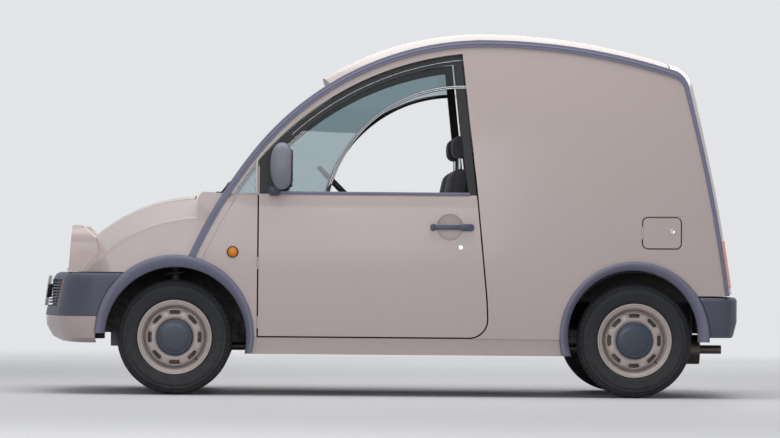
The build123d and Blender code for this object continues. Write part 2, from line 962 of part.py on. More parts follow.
apron_outer_y = apron_y + apron_thickness
apron_top_radius = bonnet_edge_radius - nose_thickness - 15
bulkhead_top_z = cowl_low_z - seat_gap
liner_top_z = axle_z + liner_radius + apron_thickness
liner_length = side_y(liner_top_z, wall_thickness + seat_gap) - apron_y - 3
with BuildPart() as bulkhead:
    with BuildSketch(Plane.YZ.offset(bulkhead_x)):
        with Locations((0, (floor_low_z + bulkhead_top_z) / 2)):
            Rectangle(2 * apron_y, bulkhead_top_z - floor_low_z)
        with Locations((0, (liner_top_z + bulkhead_top_z) / 2)):
            Rectangle(2 * cowl_half_width, bulkhead_top_z - liner_top_z)
    extrude(amount=bulkhead_thickness)
    with BuildSketch(Plane.XZ.offset(-apron_y)):
        with Locations((nose_x, nose_z)):
            Circle(apron_top_radius)
        with Locations(((bulkhead_x + apron_front_x) / 2, rail_low_z + far / 2)):
            Rectangle(apron_front_x - bulkhead_x, far, mode=Mode.INTERSECT)
    extrude(amount=-apron_thickness)
    with BuildSketch(Plane.XZ.offset(-apron_y)):
        with Locations((front_axle_x, axle_z)):
            Circle(liner_radius + apron_thickness)
        with Locations((bulkhead_x + bulkhead_thickness - far / 2, floor_low_z + far / 2)):
            Rectangle(far, far, mode=Mode.INTERSECT)
    extrude(amount=-apron_thickness)
    with BuildSketch(Plane.XZ.offset(-apron_y)):
        with Locations((front_axle_x, axle_z)):
            Circle(liner_radius + apron_thickness)
            Circle(liner_radius, mode=Mode.SUBTRACT)
        with Locations((front_axle_x - far / 2, axle_z + far / 2)):
            Rectangle(far, far, mode=Mode.INTERSECT)
    extrude(amount=-liner_length)
    with BuildSketch(Plane.XY.offset(tower_z)):
        with Locations((front_axle_x, (apron_y + kingpin_y + tower_half_width) / 2)):
            Rectangle(2 * tower_half_width, kingpin_y + tower_half_width - apron_y)
    extrude(amount=apron_thickness)
    with BuildSketch(Plane.XY.offset(axle_z)):
        with Locations((front_axle_x, kingpin_y)):
            Circle(strut_radius + 14)
    extrude(amount=tower_z - axle_z, mode=Mode.SUBTRACT)
    mirror(about=Plane.XZ)
    with BuildSketch(Plane.XZ):
        with Locations((apron_front_x - 10, (rail_low_z + 570) / 2)):
            Rectangle(20, 570 - rail_low_z)
    extrude(amount=apron_outer_y, both=True)
save(bulkhead.part, "bulkhead")

# Floor: front floor, riser and raised load floor with the rear wheel wells

load_floor_edge_y = side_y(load_floor_z, wall_thickness + seat_gap) - 1
load_floor_low_z = load_floor_z - load_floor_thickness
floor_front_x = front_axle_x - liner_radius - apron_thickness
with BuildPart() as rear_wells:
    add(drum(rear_axle_x, axle_z, rear_liner_radius + apron_thickness, rear_well_y, load_floor_edge_y - 3))
    mirror(about=Plane.XZ)
    add(across(-2 * far, 0, far, -far, load_floor_low_z), mode=Mode.SUBTRACT)

with BuildPart() as well_holes:
    add(drum(rear_axle_x, axle_z, rear_liner_radius, rear_well_y + apron_thickness, far))
    mirror(about=Plane.XZ)

with BuildPart() as floor_pan:
    add(across(load_floor_front_x, floor_front_x, floor_edge_y, floor_low_z, floor_high_z))
    add(across(floor_front_x, bulkhead_x - seat_gap, apron_y, floor_low_z, floor_high_z))
    add(across(load_floor_front_x - 30, load_floor_front_x, floor_edge_y, floor_low_z, load_floor_z))
    add(across(rear_panel_x, load_floor_front_x, load_floor_edge_y, load_floor_low_z, load_floor_z))
    add(across(rear_panel_x, rear_panel_x + 30, load_floor_edge_y, rear_bumper_low_z, load_floor_z))
    add(rear_wells.part)
    add(well_holes.part, mode=Mode.SUBTRACT)
save(floor_pan.part, "floor_pan")

# Tailgate: a crowned lid from the roof's end round the corner and down to the bumper

roof_arc_centre, roof_arc_radius = rear_spans[0][:2]
tail_top_radius = roof_arc_radius + roof_crown
tail_gap_heading = degrees(panel_gap / tail_top_radius)
tail_first = roof_rear_heading - tail_gap_heading
tail_hinge_heading = roof_rear_heading - tail_gap_heading / 2
tail_hinge = on_arc(roof_arc_centre, tail_top_radius, tail_hinge_heading)
tail_low_heading = rear_spans[-1][3]
tail_section = crowned_section(0, tailgate_thickness)
with BuildPart() as tail_band:
    add(swept(rear_spans, tail_section, tail_low_heading, tail_first))
    add(across(-2 * far, 0, tailgate_half_width, 0, 2 * far), mode=Mode.INTERSECT)

with BuildSketch(Plane.YZ) as tail_window:
    with Locations((0, (tail_window_low_z + tail_window_high_z) / 2)):
        RectangleRounded(
            2 * tail_window_half_width, tail_window_high_z - tail_window_low_z, tail_window_corner
        )

with BuildPart() as tailgate:
    add(tail_band.part)
    extrude(to_extrude=tail_window.sketch, amount=-2 * far, mode=Mode.SUBTRACT)
    add(lid_hinges(*tail_hinge, 180 - tail_hinge_heading, -leaf_depth))
save(tailgate.part, "tailgate")

pane_section = crowned_section(10, 10 + pane_thickness)
with BuildPart() as tailgate_glass:
    add(swept(rear_spans, pane_section, tail_low_heading, tail_first))
    with BuildSketch(Plane.YZ):
        add(tail_window.sketch_local)
        offset(amount=-seat_gap, mode=Mode.REPLACE)
    extrude(amount=2 * far, both=True, mode=Mode.INTERSECT)
    split(bisect_by=Plane.YZ.offset(-far), keep=Keep.BOTTOM)
save(tailgate_glass.part, "tailgate_glass")

# Side doors: a skin over a narrower inner box, and a thin black frame round the window


def lower_half(outline, low=True):
    z = belt_z - 500 if low else belt_z + 500
    with BuildSketch(Plane.XZ) as made:
        add(outline.sketch_local)
        with Locations((0, z)):
            Rectangle(4 * far, 1000, mode=Mode.INTERSECT)
    return made.sketch


door_outline = shrunk(door_opening, panel_gap)
door_inner_outline = shrunk(door_opening, panel_gap + door_step)
door_span = (door_rear_foot[0] - 20, door_front_x + 20)

hinge_x = door_front_x - panel_gap / 2
hinge_y = skin_half_width

with BuildPart() as door_shell:
    add(wall(lower_half(door_outline), 0, door_skin, door_low_z, 1000, *door_span))
    add(belt_ledge(*door_span), mode=Mode.SUBTRACT)
    add(wall(lower_half(door_inner_outline), door_skin, door_thickness, door_low_z, 1000, *door_span))
    recess_y = side_y(handle_z, handle_recess_depth)
    with BuildSketch(Plane.XZ.offset(-recess_y)):
        with Locations((handle_recess_x, handle_z)):
            Circle(handle_recess_radius)
    extrude(amount=-100, mode=Mode.SUBTRACT)
    for z in hinge_heights:
        with BuildSketch(Plane.XY.offset(z)):
            with Locations((hinge_x, hinge_y)):
                Circle(barrel_radius)
            with Locations((hinge_x - 4.5, hinge_y - 4.5)):
                Rectangle(9, 9)
        extrude(amount=hinge_height)


def split_ring(outline):
    # The bar between the upper and the lower pane
    with BuildSketch(Plane.XZ) as made:
        with Locations((split_arc_x, split_arc_z)):
            Circle(split_arc_radius + split_bar / 2)
            Circle(split_arc_radius - split_bar / 2, mode=Mode.SUBTRACT)
        add(outline.sketch_local, mode=Mode.INTERSECT)
    return made.sketch


def window_form(margin):
    # The window of the door, smaller or larger than the opening in its frame
    with BuildSketch(Plane.XZ) as made:
        add(shrunk(door_opening, panel_gap + frame_width + margin).sketch_local)
        with Locations((window_front_x - margin - far, belt_z + frame_foot + margin + 500)):
            Rectangle(2 * far, 1000, mode=Mode.INTERSECT)
    return made


with BuildPart() as door_frame:
    add(wall(lower_half(door_outline, False), frame_outer, frame_inner, belt_z, 1720, *door_span))
    extrude(to_extrude=window_form(0).sketch, amount=far, both=True, mode=Mode.SUBTRACT)
    add(wall(split_ring(window_form(-4)), frame_outer, pane_inset - 0.5, belt_z, 1720, *door_span))

# Door glass: the fixed upper pane; the lower pane is wound down

with BuildPart() as door_glass:
    add(wall(window_form(seat_gap).sketch, pane_inset, pane_inset + pane_thickness, belt_z, 1720, *door_span))
    add(drum(split_arc_x, split_arc_z, split_arc_radius, -far, far), mode=Mode.SUBTRACT)

# Door handle, a bar across the round recess

with BuildSketch(Plane.XZ) as handle_outline:
    with Locations(((handle_rear_x + handle_front_x) / 2, handle_z)):
        RectangleRounded(handle_front_x - handle_rear_x, handle_height, 12)
door_handle = wall(handle_outline.sketch, -handle_proud, -seat_gap, 700, 950, *door_span)

# Mirror: an oval head on a foot at the front corner of the window frame

with BuildPart() as mirror_head:
    with BuildSketch(Plane.XZ.offset(-mirror_inner_y)):
        with Locations((mirror_x, mirror_z)):
            Ellipse(mirror_width / 2, mirror_height / 2)
    extrude(amount=-mirror_depth)
    fillet(mirror_head.edges().group_by(Axis.Y)[0] + mirror_head.edges().group_by(Axis.Y)[-1], mirror_round)
    foot_y = side_y(mirror_foot_z - 27, frame_outer - seat_gap)
    with BuildSketch(Plane.XZ.offset(-foot_y)):
        with BuildLine():
            Polyline(
                (mirror_x + 66, mirror_foot_z + 28),
                (mirror_x + 20, mirror_foot_z - 27),
                (mirror_x - 10, mirror_foot_z + 15),
                (mirror_x + 20, mirror_foot_z + 60),
                close=True,
            )
        make_face()
    extrude(amount=-(mirror_inner_y + 40 - foot_y))

for name, turned in (("left", False), ("right", True)):
    for piece, part in (
        ("", door_shell.part),
        ("_frame", door_frame.part),
        ("_glass", door_glass.part),
        ("_handle", door_handle),
        ("_mirror", mirror_head.part),
    ):
        save(mirrored(part) if turned else part, f"door_{name}{piece}")

# Fuel flap in its pocket, hinged along its front edge, which leans with the side

flap_middle_z = (flap_low_z + flap_high_z) / 2
flap_hinge = (flap_front_x + panel_gap / 2, side_y(flap_middle_z), flap_middle_z)
flap_lean = asin((flap_middle_z - widest_z) / tumble_radius)
flap_hinge_axis = (0, -sin(flap_lean), cos(flap_lean))

with BuildPart() as fuel_flap:
    add(wall(flap_outline.sketch, 0, flap_thickness, 700, 950, flap_rear_x - 10, flap_front_x + 10))
    with BuildSketch(Plane(origin=flap_hinge, x_dir=(1, 0, 0), z_dir=flap_hinge_axis)) as flap_barrel:
        Circle(barrel_radius)
        with Locations((-leaf_length / 2, -leaf_depth)):
            Rectangle(leaf_length, leaf_height)
    extrude(amount=flap_hinge_length / 2, both=True)
save(fuel_flap.part, "fuel_flap")

# Quarter panes ahead of the doors

quarter_pane = wall(shrunk(quarter_window, seat_gap).sketch, 6, 14, 900, 1200, 600, 900)
with BuildPart() as quarter_panes:
    add(quarter_pane)
    mirror(about=Plane.XZ)
save(quarter_panes.part, "quarter_panes")

# Wheels


def tyre():
    # Round-shouldered tyre about the Y axis, centred on the origin
    half = tyre_width / 2
    with BuildPart() as made:
        with BuildSketch(Plane.XY):
            with BuildLine():
                Polyline(
                    (bead_radius, -flange_half_width + 3),
                    (bead_radius, flange_half_width - 3),
                    (bead_radius + 22, flange_half_width + 2),
                )
                ThreePointArc(
                    (bead_radius + 22, flange_half_width + 2),
                    (bead_radius + 60, half),
                    (tyre_radius - 22, half - 12),
                )
                ThreePointArc(
                    (tyre_radius - 22, half - 12),
                    (tyre_radius - 7, half - 20),
                    (tyre_radius - 2, half - 32),
                )
                Polyline((tyre_radius - 2, half - 32), (tyre_radius, half - 50), (tyre_radius, -half + 50))
                Line((tyre_radius, -half + 50), (tyre_radius - 2, -half + 32))
                ThreePointArc(
                    (tyre_radius - 22, -half + 12),
                    (tyre_radius - 7, -half + 20),
                    (tyre_radius - 2, -half + 32),
                )
                ThreePointArc(
                    (bead_radius + 22, -flange_half_width - 2),
                    (bead_radius + 60, -half),
                    (tyre_radius - 22, -half + 12),
                )
                Line((bead_radius + 22, -flange_half_width - 2), (bead_radius, -flange_half_width + 3))
            make_face()
        revolve(axis=Axis.Y)
    return made.part


def rim():
    # Steel wheel: flanged barrel, dished disc with a ring of slots and a bore; +Y is outside
    out = bead_radius - seat_gap
    with BuildPart() as made:
        with BuildSketch(Plane.XY):
            with BuildLine():
                Polyline(
                    (out, -flange_half_width + 3),
                    (out, flange_half_width - 3),
                    (flange_radius, flange_half_width + 5),
                    (flange_radius, flange_half_width + 9),
                    (out - 6, flange_half_width + 6),
                    (out - rim_wall, flange_half_width - 8),
                    (out - rim_wall, disc_y + 2),
                    (disc_ring_radius, disc_y + 10),
                    (slot_radius - slot_height / 2 - 12, disc_y + 20),
                    (cap_radius - 4, disc_y + 12),
                    (bore_radius, disc_y + 8),
                    (bore_radius, disc_y),
                    (cap_radius - 4, disc_y + 2),
                    (slot_radius - slot_height / 2 - 12, disc_y + 12),
                    (disc_ring_radius, disc_y),
                    (out - rim_wall, disc_y - 8),
                    (out - rim_wall, -flange_half_width + 8),
                    (out - 6, -flange_half_width - 6),
                    (flange_radius, -flange_half_width - 9),
                    (flange_radius, -flange_half_width - 5),
                    close=True,
                )
            make_face()
        revolve(axis=Axis.Y)
        with BuildSketch(Plane.XZ.offset(-flange_half_width)):
            with PolarLocations(slot_radius, slot_count):
                Trapezoid(slot_outer_width, slot_height, 66, rotation=-90)
        extrude(amount=flange_half_width + 10, mode=Mode.SUBTRACT)
    return made.part


def hub_cap():
    # Domed plain cap over the middle of the disc
    back = disc_y + cap_seat + seat_gap
    front = back + cap_depth
    edge_x = cap_radius - cap_round
    dome_radius = (edge_x**2 + cap_dome**2) / (2 * cap_dome)
    middle_x = edge_x / 2
    with BuildPart() as made:
        with BuildSketch(Plane.XY):
            with BuildLine():
                ThreePointArc(
                    (0, front),
                    (middle_x, front - dome_radius + sqrt(dome_radius**2 - middle_x**2)),
                    (edge_x, front - cap_dome),
                )
                Polyline(
                    (edge_x, front - cap_dome),
                    (cap_radius, front - cap_dome - cap_round),
                    (cap_radius, back),
                    (cap_radius - cap_skirt, back),
                    (cap_radius - cap_skirt, front - cap_wall),
                    (0, front - cap_wall),
                    (0, front),
                )
            make_face()
        revolve(axis=Axis.Y)
    return made.part


tyre_form = tyre()
rim_form = rim()
cap_form = hub_cap()
for name, x, y in (
    ("front_left", front_axle_x, front_wheel_y),
    ("front_right", front_axle_x, -front_wheel_y),
    ("rear_left", rear_axle_x, rear_wheel_y),
    ("rear_right", rear_axle_x, -rear_wheel_y),
):
    for piece, form in (("tyre", tyre_form), ("rim", rim_form), ("cap", cap_form)):
        turned = form if y > 0 else mirrored(form)
        save(turned.moved(Location((x, y, axle_z))), f"{piece}_{name}")


# Front bumper: a deep shell round the nose, leaning back towards the top


def bumper_plan(z, inset):
    # Half outline of the front bumper at a height, mirrored: three arcs from the tip, then a leg
    low_z = front_bumper_sections[0][0]
    high_z = front_bumper_sections[-1][0]
    share = max(0, (z - low_z) / (high_z - low_z))
    points = []
    for foot_x, top_x, foot_y, top_y in front_bumper_plan:
        points.append((foot_x + share * (top_x - foot_x) - inset, foot_y + share * (top_y - foot_y) - inset))
    with BuildLine() as made:
        for side in (1, -1):
            p = [(x, side * y) for x, y in points]
            tip = (p[0][0], 0)
            ThreePointArc(tip, p[1], p[2])
            ThreePointArc(p[2], p[3], p[4])
            Line(p[4], p[5])
        Line((points[5][0], points[5][1]), (points[5][0], -points[5][1]))
    return made.line


def rear_plan(z, inset):
    # Outline of the rear bumper, in the same way
    points = [(rear_x + x + inset, y - inset) for x, y in rear_bumper_plan]
    with BuildLine() as made:
        for side in (1, -1):
            p = [(x, side * y) for x, y in points]
            ThreePointArc((p[0][0], 0), p[1], p[2])
            ThreePointArc(p[2], p[3], p[4])
            Line(p[4], p[5])
        Line((points[5][0], points[5][1]), (points[5][0], -points[5][1]))
    return made.line


def stacked(plan, sections, inset):
    # Slices lofted from section to section, less an inset all round
    with BuildPart() as made:
        for low, high in zip(sections[:-1], sections[1:]):
            with BuildPart(mode=Mode.PRIVATE) as slice_form:
                for z, section_inset in (low, high):
                    with BuildSketch(Plane.XY.offset(z)):
                        add(plan(z, section_inset + inset))
                        make_face()
                loft()
            add(slice_form.part)
    return made.part


def bumper_ring(outer, inner):
    with BuildPart() as made:
        add(stacked(bumper_plan, front_bumper_sections, outer))
        add(stacked(bumper_plan, front_bumper_sections, inner), mode=Mode.SUBTRACT)
        add(across(-far, front_axle_x, far, 0, far), mode=Mode.SUBTRACT)
    return made.part


def indicator_form(margin, outer, inner):
    # A band of the bumper's face on both sides of the grille
    with BuildPart() as made:
        add(bumper_ring(outer, inner))
        low = grille_low_z + margin
        high = grille_high_z - margin
        add(across(front_axle_x, 2 * far, indicator_outer_y - margin, low, high), mode=Mode.INTERSECT)
        add(across(front_axle_x, 2 * far, indicator_inner_y + margin, low, high), mode=Mode.SUBTRACT)
    return made.part


with BuildPart() as front_arch_holes:
    add(front_arch_hole)
    mirror(about=Plane.XZ)

with BuildPart() as front_bumper:
    add(bumper_ring(0, bumper_thickness))
    add(front_arch_holes.part, mode=Mode.SUBTRACT)
    add(across(front_axle_x, 2 * far, grille_half_width, grille_low_z, grille_high_z), mode=Mode.SUBTRACT)
    add(indicator_form(0, -2, indicator_depth), mode=Mode.SUBTRACT)
    slat_pitch = (grille_high_z - grille_low_z) / (slat_count + 1)
    slats = bumper_ring(slat_inset, slat_inset + slat_depth)
    for i in range(slat_count):
        z = grille_low_z + (i + 1) * slat_pitch - slat_height / 2
        with BuildPart(mode=Mode.PRIVATE) as slat:
            add(slats)
            add(across(front_axle_x, 2 * far, indicator_outer_y + 4, z, z + slat_height), mode=Mode.INTERSECT)
        add(slat.part)
save(front_bumper.part, "front_bumper")

# Amber lamps: indicators in the bumper and round repeaters on the sides

with BuildPart() as amber_lamps:
    add(indicator_form(seat_gap, indicator_back, indicator_depth - seat_gap))
    for side in (1, -1):
        repeater_y = side_y(repeater_z - repeater_radius, -seat_gap)
        with BuildSketch(Plane.XZ.offset(-side * repeater_y)):
            with Locations((repeater_x, repeater_z)):
                Circle(repeater_radius)
        extrude(amount=-side * 14)
save(amber_lamps.part, "amber_lamps")

# Valance under the bumper, curving in towards its lower edge

with BuildPart() as front_valance:
    add(stacked(bumper_plan, valance_sections, 0))
    add(stacked(bumper_plan, valance_sections, bumper_thickness), mode=Mode.SUBTRACT)
    add(across(-far, valance_rear_x, far, 0, far), mode=Mode.SUBTRACT)
    add(front_arch_holes.part, mode=Mode.SUBTRACT)
save(front_valance.part, "front_valance")

# Rear bumper: rounded at the top and tapered below, hollowed over the rear panel and load floor

with BuildPart() as rear_bumper:
    add(stacked(rear_plan, rear_bumper_sections, 0))
    add(
        across(rear_panel_x - seat_gap, 0, load_floor_edge_y + seat_gap, 0, far),
        mode=Mode.SUBTRACT,
    )
    add(rear_arch_hole, mode=Mode.SUBTRACT)
    add(mirrored(rear_arch_hole), mode=Mode.SUBTRACT)
save(rear_bumper.part, "rear_bumper")

# Tail lamps on the corner panels, in shallow pockets


with BuildPart() as tail_lamps:
    add(tail_lamp_form(seat_gap, -tail_lamp_proud, tail_lamp_seat - seat_gap))
save(tail_lamps.part, "tail_lamps")

# Seats: a base, a cushion, a reclined back and a headrest on posts

with BuildPart() as seat:
    with BuildSketch(Plane.XZ.offset(-(seat_y - seat_width / 2))):
        with BuildLine():
            Polyline(
                (seat_x - 170, floor_high_z + seat_gap),
                (seat_x - 170, seat_cushion_z - 10),
                (seat_x - 270, seat_cushion_z + 60),
                (seat_x - 385, seat_top_z - 20),
                (seat_x - 350, seat_top_z),
                (seat_x - 275, seat_top_z - 15),
                (seat_x - 180, seat_cushion_z + 130),
                (seat_x + 230, seat_cushion_z + 130),
                (seat_x + 255, seat_cushion_z + 70),
                (seat_x + 220, seat_cushion_z),
                (seat_x + 170, floor_high_z + seat_gap),
                close=True,
            )
        make_face()
    extrude(amount=-seat_width)
    with BuildSketch(Plane.XZ.offset(-(seat_y - headrest_width / 2))):
        with Locations((seat_x - 335, seat_top_z + 85)):
            RectangleRounded(90, 120, 30, rotation=4)
    extrude(amount=-headrest_width)
    for y in (seat_y - 60, seat_y + 60):
        with BuildSketch(Plane.XY.offset(seat_top_z - 30)):
            with Locations((seat_x - 335, y)):
                Circle(7)
        extrude(amount=70)
with BuildPart() as seats:
    add(seat.part)
    mirror(about=Plane.XZ)
save(seats.part, "seats")

# Dashboard with the steering column under it

column_slope = radians(steering_tilt)
steering_axis = (-cos(column_slope), 0, sin(column_slope))
steering_plane = Plane(origin=steering_centre, x_dir=(0, 1, 0), z_dir=steering_axis)
with BuildPart() as dashboard:
    with BuildSketch(Plane.XZ):
        with BuildLine():
            Polyline(
                (dash_rear_x, dash_low_z),
                (dash_rear_x + 10, dash_high_z - 30),
                (dash_rear_x + 50, dash_high_z),
                (bulkhead_x - 50, dash_high_z),
                (bulkhead_x - seat_gap, dash_high_z - 20),
                (bulkhead_x - seat_gap, dash_low_z + 60),
                close=True,
            )
        make_face()
    extrude(amount=dash_half_width, both=True)
    with BuildSketch(Plane.XY.offset(column_bracket_z)):
        with Locations((dash_rear_x + 50, steering_centre[1])):
            Rectangle(80, 120)
    extrude(amount=dash_low_z + 40 - column_bracket_z)
    with BuildSketch(steering_plane.offset(-seat_gap)):
        Circle(column_radius)
    extrude(amount=-column_length)
save(dashboard.part, "dashboard")

with BuildPart() as steering_wheel:
    with BuildSketch(Plane.XZ.offset(0)) as rim_section:
        with Locations((steering_radius, 12)):
            Circle(steering_rim / 2)
    revolve(axis=Axis.Z)
    with BuildSketch(Plane.XY):
        Circle(52)
        for turn in (0, 90, 180):
            with BuildSketch(mode=Mode.ADD):
                with Locations(Location((0, 0, 0), (0, 0, turn))):
                    with Locations((steering_radius / 2, 0)):
                        Rectangle(steering_radius, 34)
    extrude(amount=24)
placed_wheel = steering_plane.location * steering_wheel.part
save(placed_wheel, "steering_wheel")

# Engine and gearbox as one block on the subframe

subframe_top_z = subframe_low_z + subframe_height
with BuildPart() as engine:
    with BuildSketch(Plane.XY.offset(subframe_top_z + seat_gap)):
        with Locations(((engine_rear_x + engine_front_x) / 2, engine_y)):
            Rectangle(engine_front_x - engine_rear_x, engine_width)
    extrude(amount=engine_height)
    chamfer(engine.edges().group_by(Axis.Z)[-1], 60)
save(engine.part, "engine")

# Front subframe with the lower arms that carry the knuckles

arm_z = subframe_low_z
with BuildPart() as front_subframe:
    add(across(engine_rear_x, subframe_front_x, subframe_half_width, subframe_low_z, subframe_top_z))
    for side in (1, -1):
        with BuildSketch(Plane.XY.offset(arm_z)):
            with BuildLine():
                Polyline(
                    (engine_rear_x + 5, side * (subframe_half_width - 20)),
                    (subframe_front_x, side * (subframe_half_width - 20)),
                    (front_axle_x + strut_radius, side * (kingpin_y - 10)),
                    (front_axle_x - strut_radius, side * (kingpin_y - 10)),
                    close=True,
                )
            make_face()
            with Locations((front_axle_x, side * kingpin_y)):
                Circle(strut_radius)
        extrude(amount=arm_height)
        with BuildSketch(Plane.XY.offset(subframe_low_z)):
            with Locations(((bulkhead_x - 40 + engine_rear_x + 10) / 2, side * 260)):
                Rectangle(engine_rear_x + 10 - bulkhead_x + 40, 120)
        extrude(amount=arm_height)
        with BuildSketch(Plane.XY.offset(subframe_low_z)):
            with Locations((bulkhead_x - 20, side * 260)):
                Rectangle(40, 120)
        extrude(amount=floor_low_z - seat_gap - subframe_low_z)
save(front_subframe.part, "front_subframe")

# Knuckles: strut, hub carrier, brake drum and spindle

with BuildPart() as knuckle:
    with BuildSketch(Plane.XY.offset(arm_z + arm_height + seat_gap)):
        with Locations((front_axle_x, kingpin_y)):
            Circle(strut_radius)
    extrude(amount=tower_z - arm_z - arm_height - 2 * seat_gap)
    add(drum(front_axle_x, axle_z, 60, kingpin_y - 15, front_wheel_y - 50))
    add(drum(front_axle_x, axle_z, brake_radius, front_wheel_y - 62, front_wheel_y + disc_y - seat_gap))
    add(drum(front_axle_x, axle_z, spindle_radius, front_wheel_y, front_wheel_y + disc_y + 16))
save(knuckle.part, "knuckle_left")
save(mirrored(knuckle.part), "knuckle_right")

# Rear axle: cross tube, trailing arms, springs, drums and spindles

with BuildPart() as rear_axle:
    add(drum(rear_pivot_x, rear_pivot_z, 30, -rear_arm_y - 35, rear_arm_y + 35))
    for side in (1, -1):
        with BuildSketch(Plane.XZ.offset(-side * (rear_arm_y - 25))):
            with BuildLine():
                Polyline(
                    (rear_pivot_x, rear_pivot_z + 30),
                    (rear_axle_x, axle_z + 40),
                    (rear_axle_x, axle_z - 40),
                    (rear_pivot_x, rear_pivot_z - 30),
                    close=True,
                )
            make_face()
        extrude(amount=-side * 50)
        with BuildSketch(Plane.XY.offset(axle_z)):
            with Locations((rear_axle_x + 60, side * rear_arm_y)):
                Circle(45)
        extrude(amount=load_floor_low_z - seat_gap - axle_z)
        with BuildSketch(Plane.XY.offset(rear_pivot_z)):
            with Locations((rear_pivot_x, side * rear_arm_y)):
                Rectangle(40, 40)
        extrude(amount=load_floor_low_z - seat_gap - rear_pivot_z)
    for y_low, y_high, radius in (
        (rear_arm_y - 25, rear_wheel_y - 40, 60),
        (rear_wheel_y - 55, rear_wheel_y + disc_y - seat_gap, brake_radius),
        (rear_wheel_y, rear_wheel_y + disc_y + 16, spindle_radius),
    ):
        hub = drum(rear_axle_x, axle_z, radius, y_low, y_high)
        add(hub)
        add(mirrored(hub))
save(rear_axle.part, "rear_axle")

# Fuel tank and exhaust under the load floor

with BuildPart() as fuel_tank:
    with BuildSketch(Plane.XY.offset(tank_low_z)):
        with Locations(((tank_rear_x + tank_front_x) / 2, 0)):
            RectangleRounded(tank_front_x - tank_rear_x, tank_width, 50)
    extrude(amount=load_floor_low_z - seat_gap - tank_low_z)
save(fuel_tank.part, "fuel_tank")

with BuildPart() as exhaust:
    for x_low, x_high, radius in (
        (silencer_rear_x, engine_rear_x - seat_gap, pipe_radius),
        (silencer_rear_x, silencer_front_x, silencer_radius),
        (rear_x + 45, silencer_rear_x, pipe_radius),
    ):
        with BuildSketch(Plane.YZ.offset(x_low)):
            with Locations((exhaust_y, exhaust_z)):
                Circle(radius)
        extrude(amount=x_high - x_low)
    for x in (silencer_rear_x + 40, silencer_front_x - 40):
        with BuildSketch(Plane.XY.offset(exhaust_z)):
            with Locations((x, exhaust_y)):
                Circle(6)
        extrude(amount=load_floor_low_z - seat_gap - exhaust_z)
save(exhaust.part, "exhaust")
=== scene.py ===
import json
from math import asin, atan2, cos, pi, radians, sin, sqrt, tau

import bmesh
import bpy
from mathutils import Matrix, Vector
from mathutils.bvhtree import BVHTree


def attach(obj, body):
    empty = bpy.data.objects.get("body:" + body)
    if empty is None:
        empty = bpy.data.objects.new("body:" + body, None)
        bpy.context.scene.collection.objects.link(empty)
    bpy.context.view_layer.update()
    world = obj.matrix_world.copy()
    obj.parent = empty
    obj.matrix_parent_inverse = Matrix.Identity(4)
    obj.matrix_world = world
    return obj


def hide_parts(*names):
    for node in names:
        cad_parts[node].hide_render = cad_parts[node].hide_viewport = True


# A small panel van. Metres, +X to the nose, +Y to the van's left, +Z up, the floor at z = 0.

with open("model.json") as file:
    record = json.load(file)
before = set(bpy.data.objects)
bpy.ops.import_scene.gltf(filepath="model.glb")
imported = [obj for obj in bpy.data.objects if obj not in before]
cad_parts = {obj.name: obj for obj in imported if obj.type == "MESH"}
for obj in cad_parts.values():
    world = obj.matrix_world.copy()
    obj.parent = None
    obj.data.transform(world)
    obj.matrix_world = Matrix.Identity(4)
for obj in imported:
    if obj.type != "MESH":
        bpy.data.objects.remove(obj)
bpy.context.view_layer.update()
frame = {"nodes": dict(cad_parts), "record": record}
nodes = frame["nodes"]
bodyOf = {node: body for body, members in frame["record"]["behaviour"]["bodies"].items() for node in members}
slotOf = {row["node"]: row["material_slot"] for row in frame["record"]["subparts"]}
print("frame loaded,", len(nodes), "nodes")


# Shader node groups and materials

def linear(r, g, b):
    # A colour written as 0 to 255 on a screen, as Blender's linear values
    parts = []
    for value in (r, g, b):
        value = value / 255
        parts.append(value / 12.92 if value <= 0.04045 else ((value + 0.055) / 1.055) ** 2.4)
    return (*parts, 1.0)


def newGroup(name, inputs, outputs):
    group = bpy.data.node_groups.new(name, "ShaderNodeTree")
    for label, kind, value in inputs:
        socket = group.interface.new_socket(name=label, in_out="INPUT", socket_type="NodeSocket" + kind)
        if value is not None:
            socket.default_value = value
    for label, kind in outputs:
        group.interface.new_socket(name=label, in_out="OUTPUT", socket_type="NodeSocket" + kind)
    return group, group.nodes.new("NodeGroupInput"), group.nodes.new("NodeGroupOutput")


def setInputs(tree, made, inputs):
    # Each socket gets a value, or the socket that it comes from; i0, i1 and so on are sockets by their number
    for name, value in inputs.items():
        key = int(name[1:]) if name[0] == "i" and name[1:].isdigit() else name.replace("_", " ")
        if isinstance(value, bpy.types.NodeSocket):
            tree.links.new(value, made.inputs[key])
        else:
            made.inputs[key].default_value = value
    return made


def addNode(tree, kind, settings=None, **inputs):
    made = tree.nodes.new(kind)
    for name, value in (settings or {}).items():
        setattr(made, name, value)
    return setInputs(tree, made, inputs)


def addMath(tree, operation, first, second):
    return addNode(tree, "ShaderNodeMath", {"operation": operation}, i0=first, i1=second).outputs[0]


def addGroup(tree, group, **inputs):
    return addNode(tree, "ShaderNodeGroup", {"node_tree": group}, **inputs)


def grainGroup():
    # Fine moulded or painted grain: a height for bump and a small spread of roughness
    group, given, made = newGroup(
        "surfaceGrain",
        [("Vector", "Vector", None), ("Scale", "Float", 300.0), ("Spread", "Float", 0.05)],
        [("Height", "Float"), ("Roughness Shift", "Float")],
    )
    fine = addNode(group, "ShaderNodeTexNoise", None, Vector=given.outputs["Vector"],
                   Scale=given.outputs["Scale"], Detail=3.0)
    broad = addNode(group, "ShaderNodeTexNoise", None, Vector=given.outputs["Vector"], Scale=7.0, Detail=2.0)
    centred = addMath(group, "SUBTRACT", broad.outputs[0], 0.5)
    shift = addMath(group, "MULTIPLY", centred, given.outputs["Spread"])
    group.links.new(fine.outputs[0], made.inputs["Height"])
    group.links.new(shift, made.inputs["Roughness Shift"])
    return group


